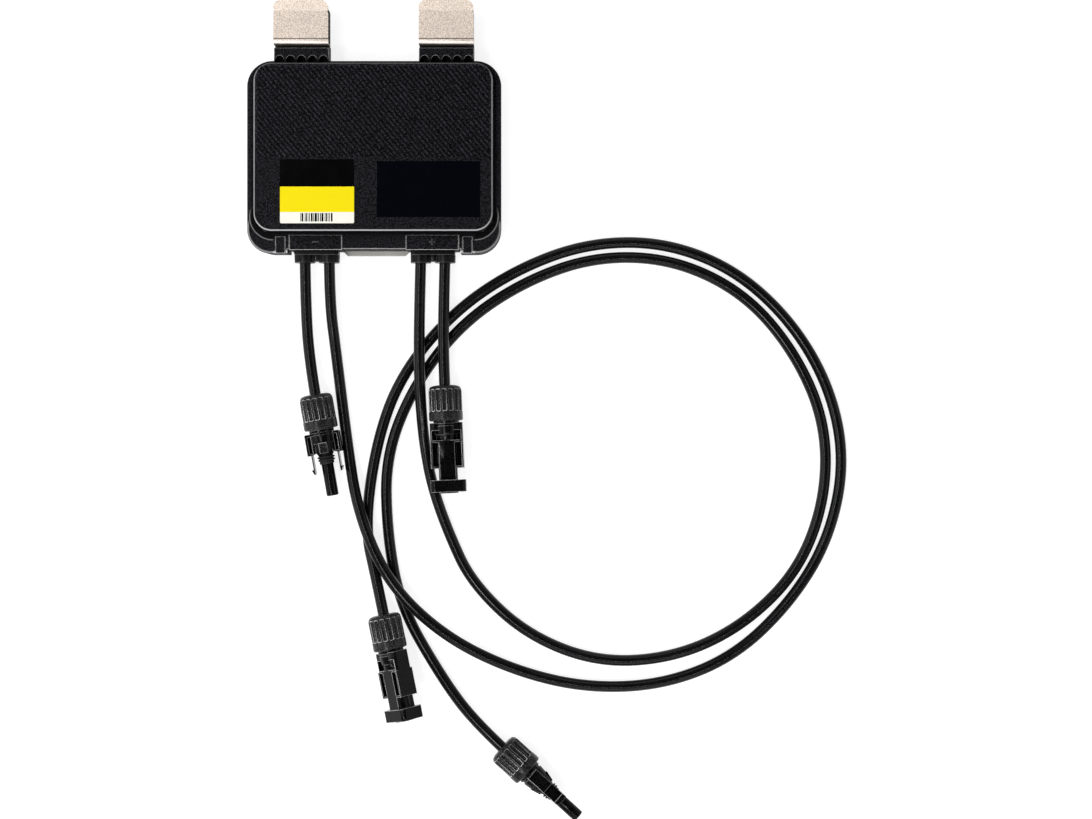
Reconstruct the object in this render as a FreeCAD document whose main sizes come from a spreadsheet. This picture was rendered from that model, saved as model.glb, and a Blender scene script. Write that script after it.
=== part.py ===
import FreeCAD, Part
import math
import os
import re
import Sketcher

os.makedirs("parts", exist_ok=True)

V = FreeCAD.Vector
DOC = FreeCAD.newDocument("solar_power_optimizer")

# Driving sizes in millimetres and degrees, by group.
SIZES = {
    # housing outline, seen from the front, with Z out of the cover
    "housing_half_width": 69.85,
    "housing_top": 39.2,
    "housing_bottom": -66.8,
    "base_height": 17.6,
    "base_draft": 2.0,
    "corner_radius_top": 14.0,
    "corner_radius_bottom": 13.4,
    "base_edge_radius": 2.2,
    "base_floor_bottom": 1.2,
    "base_floor_top": 3.2,
    "cavity_side_wall": 8.35,
    "cavity_top_wall": 7.7,
    "cavity_bottom_wall": 15.8,
    "cavity_radius": 7.0,
    "cavity_half_width": "housing_half_width - cavity_side_wall",
    "cavity_top": "housing_top - cavity_top_wall",
    "cavity_bottom": "housing_bottom + cavity_bottom_wall",
    "service_side": 22.35,
    "service_depth": 2.7,
    "service_half_width": "housing_half_width - service_side",
    "service_wall": "housing_bottom + service_depth",
    # front cover
    "cover_side_margin": 4.45,
    "cover_top_margin": 2.0,
    "cover_bottom_margin": 11.9,
    "cover_rise": 5.3,
    "cover_half_width": "housing_half_width - cover_side_margin",
    "cover_top": "housing_top - cover_top_margin",
    "cover_bottom": "housing_bottom + cover_bottom_margin",
    "cover_front": "base_height + cover_rise",
    "cover_radius": 10.0,
    "cover_edge_radius": 1.6,
    "cover_wall": 2.4,
    "cover_skin": 2.2,
    "cover_lip_margin": 9.4,
    "cover_lip_depth": 1.6,
    "cover_lip_rise": 1.3,
    "cover_lip_half_width": "cover_half_width - cover_lip_margin",
    "gasket_inset": 0.5,
    "gasket_width": 1.4,
    "gasket_height": 1.2,
    # diagonal ribbing of the cover
    "rib_left_margin": 2.4,
    "rib_right_margin": 1.9,
    "rib_top_margin": 2.2,
    "rib_left": "rib_left_margin - cover_half_width",
    "rib_right": "cover_half_width - rib_right_margin",
    "rib_top": "cover_top - rib_top_margin",
    "rib_bottom": -14.4,
    "rib_angle": 50.0,
    "rib_pitch": 2.92,
    "rib_groove_width": 1.1,
    "rib_groove_depth": 0.35,
    # labels
    "label_sink": 0.25,
    "label_thickness": 0.2,
    "label_radius": 0.8,
    "label_gap": 0.1,
    "rating_left": -50.7,
    "rating_right": -10.3,
    "rating_top": -15.9,
    "rating_bottom": -50.7,
    "notice_left": 2.2,
    "notice_right": 58.3,
    "notice_top": -16.9,
    "notice_bottom": -47.2,
    # lower edge of the base
    "gland_x": 32.0,
    "gland_block_half": 14.45,
    "gland_block_set": 2.1,
    "gland_block_rise": 0.4,
    "lower_row_gap": 0.1,
    "lower_row_back": "cover_bottom - cover_lip_depth - lower_row_gap",
    "gland_block_front": "housing_bottom + gland_block_set",
    "gland_block_height": "base_height + gland_block_rise",
    "middle_bar_half": 17.2,
    "tab_gap": 2.15,
    "tab_width": 5.3,
    "tab_inner": "gland_x + gland_block_half + tab_gap",
    "tab_outer": "tab_inner + tab_width",
    "tab_set": 0.2,
    "tab_length": 9.1,
    "tab_rise": 0.3,
    "tab_front": "housing_bottom + tab_set",
    # neck, tongue and clips
    "clip_margin": 30.15,
    "clip_x": "housing_half_width - clip_margin",
    "neck_half": 15.0,
    "neck_step_reach": 6.8,
    "neck_reach": 8.3,
    "neck_bottom": 7.8,
    "neck_step_drop": 4.1,
    "neck_step": "housing_top + neck_step_reach",
    "neck_top": "housing_top + neck_reach",
    "neck_low_height": "base_height - neck_step_drop",
    "tongue_half": 14.7,
    "tongue_thickness": 2.4,
    "tongue_short": 1.2,
    "scallop_pitch": 6.0,
    "scallop_width": 4.8,
    "scallop_start": 0.6,
    "scallop_length": 4.1,
    "scallop_depth": 4.6,
    "clip_half": 15.0,
    "clip_sheet": 1.2,
    "clip_drop": 2.3,
    "clip_gap": 0.1,
    "clip_leg": 16.8,
    "clip_flare": 5.8,
    "clip_bend_out": "neck_top + clip_gap + clip_sheet",
    "clip_front": "cover_front - clip_drop",
    "clip_flare_start": "clip_bend_out + clip_leg",
    "clip_tip": "clip_flare_start + clip_flare",
    "clip_flare_rise": 1.1,
    "clip_bend_radius": 1.2,
    "clip_corner_radius": 4.0,
    "clip_tab_half": 8.0,
    "clip_tab_reach": 7.0,
    "clip_tab_drop": 2.4,
    "clip_tab_bottom": "neck_low_height - clip_tab_drop",
    "clip_notch": 0.9,
    # back plate
    "plate_side_margin": 7.85,
    "plate_top_margin": 3.2,
    "plate_bottom_margin": 3.8,
    "plate_half_width": "housing_half_width - plate_side_margin",
    "plate_top": "housing_top - plate_top_margin",
    "plate_bottom": "housing_bottom + plate_bottom_margin",
    "plate_tongue_half": 18.0,
    "plate_tongue_bottom": "housing_bottom - 0.1",
    "plate_radius": 9.0,
    "plate_gap": 0.15,
    # cable glands and cables
    "cable_radius": 3.1,
    "cable_pitch": 13.4,
    "cable_height": 10.5,
    "cable_start": -65.0,
    "gland_half": 12.15,
    "gland_flange": 2.5,
    "gland_reach": 6.7,
    "gland_end": "gland_block_front - gland_reach",
    "gland_boss_radius": 5.7,
    "gland_half_height": 6.3,
    "gland_bore_gap": 0.3,
    "lead_radius": 1.6,
    # circuit board
    "board_side_gap": 5.5,
    "board_end_gap": 4.5,
    "board_half": "cavity_half_width - board_side_gap",
    "board_top": "cavity_top - board_end_gap",
    "board_bottom": "cavity_bottom + board_end_gap + 0.5",
    "board_level": 6.2,
    "board_thickness": 1.6,
    "inductor_margin": 10.0,
    "inductor_left": "inductor_margin - board_half",
    "board_screw_inset": 5.0,
    "board_screw_x": "board_half - board_screw_inset",
    "board_screw_top": "board_top - board_screw_inset",
    "board_screw_bottom": "board_bottom + 2 * board_screw_inset",
    "screw_radius": 1.5,
    "screw_head_radius": 2.9,
    "screw_head_height": 1.9,
    "boss_radius": 3.4,
    # cable connectors, along their own axis from the cable entry
    "nut_radius": 9.2,
    "nut_collar_radius": 9.35,
    "nut_length": 19.5,
    "nut_wall": 3.2,
    "nut_shoulder": 2.6,
    "nut_flute_start": 2.4,
    "nut_flute_end": 14.2,
    "nut_flute_radius": 1.25,
    "nut_flute_offset": 0.45,
    "nut_flutes": 16,
    "barrel_radius": 7.2,
    "thread_gap": 0.08,
    "barrel_start": 7.0,
    "barrel_bore": 5.2,
    "barrel_bore_end": 17.0,
    "ring_gap": 0.3,
    "cable_gap": 0.3,
    "nut_hole_gap": 0.5,
    "cable_end": 10.0,
    "contact_radius": 2.3,
    # plug
    "plug_collar": 6.9,
    "plug_band": 6.3,
    "plug_band_end": 27.0,
    "plug_nose": 5.75,
    "plug_nose_full": 30.0,
    "plug_nose_end": 34.3,
    "plug_seal_radius": 4.85,
    "plug_seal_end": 38.8,
    "plug_tube_radius": 3.35,
    "plug_seal_groove": 0.45,
    "plug_tube_bore": 2.45,
    "plug_length": 56.6,
    "wing_half": 9.65,
    "wing_width": 3.5,
    "wing_start": 21.3,
    "wing_end": 33.2,
    "wing_thickness": 6.8,
    "wing_rail": 1.5,
    "wing_recess": 1.8,
    "wing_web": 2.0,
    "arm_x": 7.3,
    "arm_thickness": 0.8,
    "arm_end": 43.8,
    "barb_length": 2.8,
    "barb_reach": 1.1,
    "pad_half": 2.3,
    "pad_start": 27.0,
    "pad_end": 32.7,
    "pad_high": 6.75,
    "pad_low": 5.3,
    # socket
    "socket_length": 59.4,
    "shoulder_end": 31.5,
    "rail_end": 45.7,
    "flange_start": 52.2,
    "socket_half_width": 9.0,
    "socket_half_depth": 5.4,
    "flange_half_width": 9.7,
    "flange_half_depth": 7.0,
    "socket_tube_radius": 5.2,
    "socket_bore": 3.45,
    "socket_bore_depth": 20.0,
    "mouth_radius": 4.6,
    "mouth_depth": 5.0,
    "window_start": 24.9,
    "window_floor": 2.0,
    "panel_half": 4.35,
    "panel_half_depth": 5.4,
    "rail_width": 1.0,
    "rail_half_depth": 5.4,
    "web_half_depth": 1.2,
    "pin_radius": 1.5,
    "pin_recess": 8.4,
    "slot_half": 3.2,
    "slot_inner": 6.1,
    "slot_outer": 8.9,
}

# Cable routes: hand-chosen points from the gland to the connector.
ROUTE_SHORT_LEFT = [
    (-38.7, -65.0, 10.5), (-38.4, -92.5, 10.4), (-36.5, -125.2, 9.6), (-31.46, -153.75, 9.6),
]
ROUTE_SHORT_RIGHT = [
    (38.7, -65.0, 10.5), (37.9, -92.5, 10.9), (37.54, -120.05, 9.54), (38.85, -148.98, 11.16),
]
ROUTE_LONG_LEFT = [
    (-25.3, -65.0, 10.5), (-25.3, -92.5, 9.6), (-22.2, -121.0, 4.4), (-16.5, -168.4, 3.2),
    (-9.7, -208.4, 11.4), (7.1, -247.9, 11.2), (37.8, -277.5, 9.4), (76.1, -297.2, 3.5),
    (117.0, -307.0, 3.3), (159.8, -305.1, 3.3), (198.8, -289.6, 3.3), (230.4, -259.2, 3.3),
    (251.7, -223.9, 3.3), (260.4, -181.1, 3.3), (252.2, -140.0, 3.3), (230.6, -102.9, 3.3),
    (198.5, -73.8, 3.3), (158.7, -58.9, 3.3), (116.1, -59.9, 3.3), (75.9, -75.2, 3.3),
    (41.6, -99.0, 3.3), (13.7, -133.1, 3.3), (0.2, -169.4, 3.3), (-6.6, -217.5, 3.2),
    (0.72, -246.84, 8.34), (6.64, -275.17, 10.26),
]
ROUTE_LONG_RIGHT = [
    (25.3, -65.0, 10.5), (24.6, -92.5, 10.9), (24.2, -121.0, 11.0), (24.9, -147.0, 9.9),
    (26.6, -171.0, 3.6), (31.0, -195.0, 3.2), (40.2, -221.0, 3.2), (52.9, -248.4, 3.2),
    (82.9, -277.1, 3.3), (123.4, -293.0, 3.3), (166.7, -289.9, 3.3), (204.4, -272.0, 3.3),
    (235.1, -241.2, 3.3), (249.8, -200.8, 3.3), (249.5, -158.6, 3.3), (231.9, -119.1, 3.3),
    (203.8, -87.0, 3.3), (164.6, -68.5, 3.3), (122.0, -67.0, 3.3), (82.2, -80.9, 3.3),
    (46.9, -104.7, 3.3), (20.7, -139.0, 3.3), (5.1, -178.1, 3.3), (6.0, -221.2, 3.2),
    (13.3, -261.3, 3.2), (36.5, -301.5, 3.6), (55.71, -326.14, 8.27), (77.37, -345.31, 10.30),
]

# Cable entry of each connector, heading from -Y towards +X, lift of the tip, roll.
CONNECTORS = {
    "left_plug": ((-33.2, -143.9, 9.6), 10.0, 0.0, 0.0),
    "right_socket": ((38.4, -139.0, 10.6), 2.6, 3.2, 0.0),
    "long_socket": ((4.6, -265.4, 9.6), 11.8, 3.8, 50.0),
    "long_plug": ((69.9, -338.7, 9.6), 48.5, 4.0, 80.0),
}


# Radius of the ring on which the points of an outline stand before their sizes place them.
START_RADIUS = 50.0


def make_sheet():
    """Write the driving sizes into a spreadsheet, one alias each."""
    sheet = DOC.addObject("Spreadsheet::Sheet", "sizes")
    for row, (name, value) in enumerate(SIZES.items(), 1):
        sheet.set(f"A{row}", name)
        sheet.set(f"B{row}", f"={value}" if isinstance(value, str) else str(value))
        sheet.setAlias(f"B{row}", name)
    DOC.recompute()
    return sheet


SHEET = make_sheet()


def size(name):
    """Read one driving size back from the sheet."""
    return float(SHEET.get(name))


def bind(text):
    """Turn size names in a formula into sheet references."""
    def swap(match):
        word = match.group(0)
        return "sizes." + word if word in SIZES else word
    return re.sub(r"[A-Za-z_]\w*", swap, str(text))


def set_all(item, **formulas):
    """Bind properties of one object to formulas; __ stands for a dot."""
    for key, formula in formulas.items():
        item.setExpression(key.replace("__", "."), bind(formula))


def new_body(name):
    """Start a part design body that is one node."""
    body = DOC.addObject("PartDesign::Body", name)
    body.Label = name
    return body


def plane_of(body, role):
    """Find one origin plane of a body."""
    return [item for item in body.Origin.OriginFeatures if item.Role == role][0]


def sketch(body, name, plane, lift, polygons=(), circles=()):
    """Draw closed polygons and circles, each point bound to the sheet."""
    item = body.newObject("Sketcher::SketchObject", name)
    item.AttachmentSupport = (plane_of(body, plane), [""])
    item.MapMode = "FlatFace"
    item.setExpression("AttachmentOffset.Base.z", bind(lift))
    for points in polygons:
        first = item.GeometryCount
        count = len(points)
        turns = [2 * math.pi * k / count for k in range(count)]
        ring = [V(START_RADIUS * math.cos(turn), START_RADIUS * math.sin(turn), 0) for turn in turns]
        for k in range(count):
            item.addGeometry(Part.LineSegment(ring[k], ring[(k + 1) % count]), False)
        for k in range(count):
            item.addConstraint(Sketcher.Constraint("Coincident", first + k, 2, first + (k + 1) % count, 1))
        for k, (across, along) in enumerate(points):
            pin_point(item, first + k, 1, across, along)
    for across, along, radius in circles:
        number = item.addGeometry(Part.Circle(V(0, 0, 0), V(0, 0, 1), 5), False)
        pin_point(item, number, 3, across, along)
        index = item.addConstraint(Sketcher.Constraint("Radius", number, 5))
        item.renameConstraint(index, f"radius{number}")
        item.setExpression(f"Constraints.radius{number}", bind(radius))
    return item


def pin_point(item, number, end, across, along):
    """Fix one sketch point by its two distances from the origin."""
    for kind, formula in (("DistanceX", across), ("DistanceY", along)):
        index = item.addConstraint(Sketcher.Constraint(kind, -1, 1, number, end, 1.0))
        title = f"{kind[-1].lower()}{number}"
        item.renameConstraint(index, title)
        item.setExpression(f"Constraints.{title}", bind(formula))


def rectangle(left, right, bottom, top):
    """List the corners of a rectangle."""
    return [(left, bottom), (right, bottom), (right, top), (left, top)]


def pad(body, name, bottom, length, polygons=(), circles=(), plane="XY_Plane"):
    """Add a prism that stands on its sketch."""
    item = body.newObject("PartDesign::Pad", name)
    item.Profile = sketch(body, name + "_sketch", plane, bottom, polygons, circles)
    item.setExpression("Length", bind(length))
    body.Tip = item
    return item


def pocket(body, name, top, depth, polygons=(), circles=(), plane="XY_Plane", flip=False):
    """Cut a prism below its sketch, or above it when flipped."""
    item = body.newObject("PartDesign::Pocket", name)
    item.Profile = sketch(body, name + "_sketch", plane, top, polygons, circles)
    item.setExpression("Length", bind(depth))
    item.Reversed = flip
    body.Tip = item
    return item


def turn(body, name, points, kind="PartDesign::Revolution"):
    """Turn a profile of (radius, distance) points about the Y axis."""
    profile = sketch(body, name + "_sketch", "XY_Plane", "0", [points])
    item = body.newObject(kind, name)
    item.Profile = profile
    item.ReferenceAxis = (profile, ["V_Axis"])
    item.Angle = 360
    body.Tip = item
    return item


def block(body, name, kind, x, y, z):
    """Add or cut a box given by (low, high) formulas on each axis."""
    item = body.newObject(f"PartDesign::{kind}Box", name)
    for side, axis, (low, high) in zip(("Length", "Width", "Height"), "xyz", (x, y, z)):
        item.setExpression(side, bind(f"({high}) - ({low})"))
        item.setExpression(f"Placement.Base.{axis}", bind(low))
    body.Tip = item
    return item


def dress(body, name, kind, radius, test):
    """Round or bevel the edges whose middle point passes a test."""
    DOC.recompute()
    tip = body.Tip
    names = []
    for number, edge in enumerate(tip.Shape.Edges, 1):
        middle = edge.valueAt((edge.FirstParameter + edge.LastParameter) / 2)
        if test(edge, middle):
            names.append(f"Edge{number}")
    if not names:
        raise ValueError(f"{body.Name}: no edge for {name}")
    item = body.newObject(f"PartDesign::{kind}", name)
    item.Base = (tip, names)
    item.setExpression("Radius" if kind == "Fillet" else "Size", bind(radius))
    body.Tip = item
    DOC.recompute()
    return item


def along_z(edge):
    """Tell whether an edge is a straight line along Z."""
    low, high = edge.Vertexes[0].Point, edge.Vertexes[-1].Point
    return abs(low.x - high.x) < 1e-6 and abs(low.y - high.y) < 1e-6 and abs(low.z - high.z) > 1e-6


def upright(edge):
    """Tell whether an edge climbs more than it runs."""
    low, high = edge.Vertexes[0].Point, edge.Vertexes[-1].Point
    return abs(low.z - high.z) > max(1, abs(low.x - high.x) + abs(low.y - high.y))


def near(value, target):
    """Tell whether two lengths agree within a hundredth."""
    return abs(value - target) < 0.01


def solid_box(name, x, y, z):
    """Make a plain box given by (low, high) formulas on each axis."""
    item = DOC.addObject("Part::Box", name)
    for side, axis, (low, high) in zip(("Length", "Width", "Height"), "xyz", (x, y, z)):
        item.setExpression(side, bind(f"({high}) - ({low})"))
        item.setExpression(f"Placement.Base.{axis}", bind(low))
    item.Label = name
    return item


def solid_cylinder(name, x, y, z, radius, height, axis=V(0, 0, 1)):
    """Make a plain cylinder from its start point, radius and height."""
    item = DOC.addObject("Part::Cylinder", name)
    item.Placement = FreeCAD.Placement(V(0, 0, 0), FreeCAD.Rotation(V(0, 0, 1), axis))
    set_all(item, Radius=radius, Height=height)
    for letter, formula in zip("xyz", (x, y, z)):
        item.setExpression(f"Placement.Base.{letter}", bind(formula))
    item.Label = name
    return item


def cut(name, base, tool):
    """Cut one object with another."""
    item = DOC.addObject("Part::Cut", name)
    item.Base = base
    item.Tool = tool
    item.Label = name
    return item


def fuse(name, parts):
    """Join solids into one."""
    item = DOC.addObject("Part::MultiFuse", name)
    item.Shapes = parts
    item.Refine = True
    item.Label = name
    return item


def group(name, parts):
    """Keep like solids side by side in one node."""
    item = DOC.addObject("Part::Compound", name)
    item.Links = parts
    item.Label = name
    return item


def make_base_shell():
    """Make the tray: rim, neck blocks, gland blocks and wire bores."""
    body = new_body("base_shell")
    lean = "base_height * tan(base_draft * 1deg)"
    slab = pad(body, "slab", "0", "base_height", [rectangle(
        f"{lean} - housing_half_width", f"housing_half_width - {lean}",
        f"housing_bottom + {lean}", f"housing_top - {lean}")])
    slab.setExpression("TaperAngle", bind("base_draft"))
    dress(body, "corners_top", "Fillet", "corner_radius_top",
          lambda edge, mid: upright(edge) and mid.y > 0)
    dress(body, "corners_bottom", "Fillet", "corner_radius_bottom",
          lambda edge, mid: upright(edge) and mid.y < 0 and mid.x * edge.Vertexes[0].X > 0
          and abs(mid.y) > abs(size("housing_bottom")) - 2)
    dress(body, "soft_edge", "Fillet", "base_edge_radius",
          lambda edge, mid: near(mid.z, size("base_height")))
    block(body, "service_step", "Subtractive", ("-service_half_width", "service_half_width"),
          ("housing_bottom - 1", "service_wall"), ("-1", "base_height + 1"))
    for side, sign in (("left", "-1"), ("right", "1")):
        middle = f"{sign} * gland_x"
        block(body, f"gland_block_{side}", "Additive",
              (f"{middle} - gland_block_half", f"{middle} + gland_block_half"),
              ("gland_block_front", "lower_row_back"), ("base_floor_bottom", "gland_block_height"))
        tab = ("-tab_outer", "-tab_inner") if side == "left" else ("tab_inner", "tab_outer")
        block(body, f"latch_tab_{side}", "Additive", tab, ("tab_front", "tab_front + tab_length"),
              ("base_height - 4", "base_height + tab_rise"))
        make_neck(body, side, sign)
    block(body, "middle_bar", "Additive", ("-middle_bar_half", "middle_bar_half"),
          ("service_wall", "lower_row_back"), ("base_height - 3", "base_height + 0.1"))
    pocket(body, "cavity", "base_height", "base_height - base_floor_top", [rectangle(
        "-cavity_half_width", "cavity_half_width", "cavity_bottom", "cavity_top")])
    dress(body, "cavity_corners", "Fillet", "cavity_radius",
          lambda edge, mid: along_z(edge) and near(abs(mid.x), size("cavity_half_width")))
    pocket(body, "gasket_groove", "base_height", "gasket_height",
           [gasket_outline("gasket_inset"), gasket_outline("gasket_inset + gasket_width")])
    pocket(body, "plate_recess", "0", "base_floor_bottom", [plate_outline("plate_gap")], flip=True)
    pad(body, "board_bosses", "base_floor_top", "board_level - base_floor_top",
        circles=[(x, y, "boss_radius") for x, y in screw_places()])
    pocket(body, "board_bores", "board_level", "board_level - base_floor_top + 0.6",
           circles=[(x, y, "screw_radius") for x, y in screw_places()])
    pocket(body, "wire_bores", "-cavity_bottom - 1", "-gland_block_front + cavity_bottom + 2",
           circles=[(x, "cable_height", "lead_radius + 0.4") for x in cable_places()],
           plane="XZ_Plane", flip=True)
    return body


def make_neck(body, side, sign):
    """Add the stepped block and tongue that carry one clip, with a row of arched recesses."""
    middle = f"{sign} * clip_x"
    neck = (f"{middle} - neck_half", f"{middle} + neck_half")
    block(body, f"neck_low_{side}", "Additive", neck, ("housing_top - 6", "neck_top"),
          ("neck_bottom", "neck_low_height"))
    block(body, f"neck_high_{side}", "Additive", neck, ("cover_top + 0.3", "neck_step"),
          ("neck_low_height - 1", "base_height"))
    block(body, f"tongue_{side}", "Additive", (f"{middle} - tongue_half", f"{middle} + tongue_half"),
          ("neck_top - 1", "clip_tip - tongue_short"), ("neck_bottom", "neck_bottom + tongue_thickness"))
    dress(body, f"tongue_corners_{side}", "Fillet", "clip_corner_radius",
          lambda edge, mid: upright(edge) and near(mid.y, size("clip_tip") - size("tongue_short"))
          and near(abs(mid.x - float(sign) * size("clip_x")), size("tongue_half")))
    block(body, f"clip_slot_{side}", "Subtractive",
          (f"{middle} - clip_tab_half", f"{middle} + clip_tab_half"),
          ("neck_top - clip_tab_reach", "neck_top + 1"),
          ("clip_tab_bottom", "clip_tab_bottom + clip_sheet"))
    foot = "cover_top + scallop_start"
    arches = []
    for step in range(-2, 3):
        across = f"{middle} + {step} * scallop_pitch"
        arch = [(x, f"{foot} + scallop_length * {y}")
                for x, y in (("0.5", 0), ("0.5", 0.45), ("0.42", 0.72), ("0.25", 0.92), ("0.08", 1))]
        arches.append([(f"{across} - {x} * scallop_width", y) for x, y in arch]
                      + [(f"{across} + {x} * scallop_width", y) for x, y in reversed(arch)])
    pocket(body, f"arches_{side}", "base_height", "scallop_depth", arches)


def gasket_outline(inset):
    """List an eight-cornered ring path inside the cover wall."""
    bevel = "cover_radius * 0.5"
    left, right = f"-cover_half_width + {inset}", f"cover_half_width - ({inset})"
    low, high = f"cover_bottom + {inset}", f"cover_top - ({inset})"
    return [
        (f"{left} + {bevel}", low), (f"{right} - {bevel}", low),
        (right, f"{low} + {bevel}"), (right, f"{high} - {bevel}"),
        (f"{right} - {bevel}", high), (f"{left} + {bevel}", high),
        (left, f"{high} - {bevel}"), (left, f"{low} + {bevel}"),
    ]


def plate_outline(grow):
    """List the outline of the back plate, with its tongue at the lower edge."""
    right, radius = f"plate_half_width + {grow}", "plate_radius"
    low, high = f"plate_bottom - {grow}", f"plate_top + {grow}"
    tongue, tip = f"plate_tongue_half + {grow}", "plate_tongue_bottom"
    half = [
        (f"{tongue} - 2", tip), (tongue, f"{tip} + 2"), (tongue, low),
        (f"{right} - {radius}", low), (right, f"{low} + {radius}"),
        (right, f"{high} - {radius}"), (f"{right} - {radius}", high),
    ]
    return half + [(f"-({x})", y) for x, y in reversed(half)]


def screw_places():
    """List the four board screws."""
    return [(f"{sign} * board_screw_x", y)
            for sign in ("-1", "1") for y in ("board_screw_bottom", "board_screw_top")]


def cable_places():
    """List the four cable positions across the lower edge."""
    return [f"{side} * gland_x + {step} * cable_pitch / 2"
            for side in ("-1", "1") for step in ("-1", "1")]


def make_front_cover():
    """Make the lid: a rounded cap, hollow below, with ribbing and label seats."""
    body = new_body("cover_cap")
    pad(body, "cap", "base_height", "cover_front - base_height", [rectangle(
        "-cover_half_width", "cover_half_width", "cover_bottom", "cover_top")])
    inner = [rectangle("-cover_half_width + cover_wall", "cover_half_width - cover_wall",
                       "cover_bottom + cover_wall", "cover_top - cover_wall")]
    pocket(body, "hollow", "base_height", "cover_front - cover_skin - base_height", inner, flip=True)
    dress(body, "hollow_corners", "Fillet", "cover_radius - cover_wall",
          lambda edge, mid: along_z(edge) and near(abs(mid.x), size("cover_half_width") - size("cover_wall")))
    dress(body, "cap_corners", "Fillet", "cover_radius",
          lambda edge, mid: along_z(edge) and near(abs(mid.x), size("cover_half_width")))
    dress(body, "cap_edge", "Fillet", "cover_edge_radius",
          lambda edge, mid: near(mid.z, size("cover_front")))
    block(body, "lip", "Additive", ("-cover_lip_half_width", "cover_lip_half_width"),
          ("cover_bottom - cover_lip_depth", "cover_bottom + 1"),
          ("base_height", "base_height + cover_lip_rise"))
    for title in ("rating", "notice"):
        block(body, f"{title}_seat", "Subtractive",
              (f"{title}_left - label_gap", f"{title}_right + label_gap"),
              (f"{title}_bottom - label_gap", f"{title}_top + label_gap"),
              ("cover_front - label_sink", "cover_front + 1"))
    return cut("front_cover", body, make_rib_grooves())


def make_rib_grooves():
    """Make the diagonal groove cutters, trimmed to the ribbed field."""
    left, right = size("rib_left"), size("rib_right")
    low, high = size("rib_bottom"), size("rib_top")
    lean = (high - low) / math.tan(math.radians(size("rib_angle")))
    half = size("rib_groove_width") / 2 / math.sin(math.radians(size("rib_angle")))
    top = size("cover_front")
    depth = size("rib_groove_depth")
    bars = []
    start = left - lean + size("rib_pitch") * 0.75
    while start < right - half:
        corners = clip_bar(start - half, start + half, lean, left, right, low, high)
        wire = Part.makePolygon([V(x, y, top - depth) for x, y in corners + corners[:1]])
        bars.append(Part.Face(wire).extrude(V(0, 0, depth + 1)))
        start += size("rib_pitch")
    item = DOC.addObject("Part::Feature", "rib_grooves")
    item.Shape = Part.makeCompound(bars)
    return item


def clip_bar(near_side, far_side, lean, left, right, low, high):
    """Clip one leaning bar to the field and list its corners."""
    def level(x, start):
        return high - (x - start) / lean * (high - low)
    corners = [(near_side, high), (far_side, high), (far_side + lean, low), (near_side + lean, low)]
    for keep, bound in ((1, left), (-1, right)):
        kept = []
        for (x0, y0), (x1, y1) in zip(corners, corners[1:] + corners[:1]):
            inside0, inside1 = keep * (x0 - bound) >= 0, keep * (x1 - bound) >= 0
            if inside0:
                kept.append((x0, y0))
            if inside0 != inside1:
                share = (bound - x0) / (x1 - x0)
                kept.append((bound, y0 + share * (y1 - y0)))
        corners = kept
    return corners


def make_labels():
    """Make the two thin labels."""
    labels = []
    for title in ("rating", "notice"):
        body = new_body(f"{title}_label")
        pad(body, f"{title}_sheet", "cover_front - label_sink", "label_thickness", [rectangle(
            f"{title}_left", f"{title}_right", f"{title}_bottom", f"{title}_top")])
        dress(body, f"{title}_corners", "Fillet", "label_radius", lambda edge, mid: along_z(edge))
        labels.append(body)
    return labels


def make_gasket():
    """Make the sealing ring that lies in the groove of the base."""
    body = new_body("cover_gasket")
    pad(body, "ring", "base_height - gasket_height", "gasket_height",
        [gasket_outline("gasket_inset"), gasket_outline("gasket_inset + gasket_width")])
    return body


def make_back_plate():
    """Make the metal plate set into the back."""
    body = new_body("back_plate")
    pad(body, "plate", "0", "base_floor_bottom", [plate_outline("0")])
    return body


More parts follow.
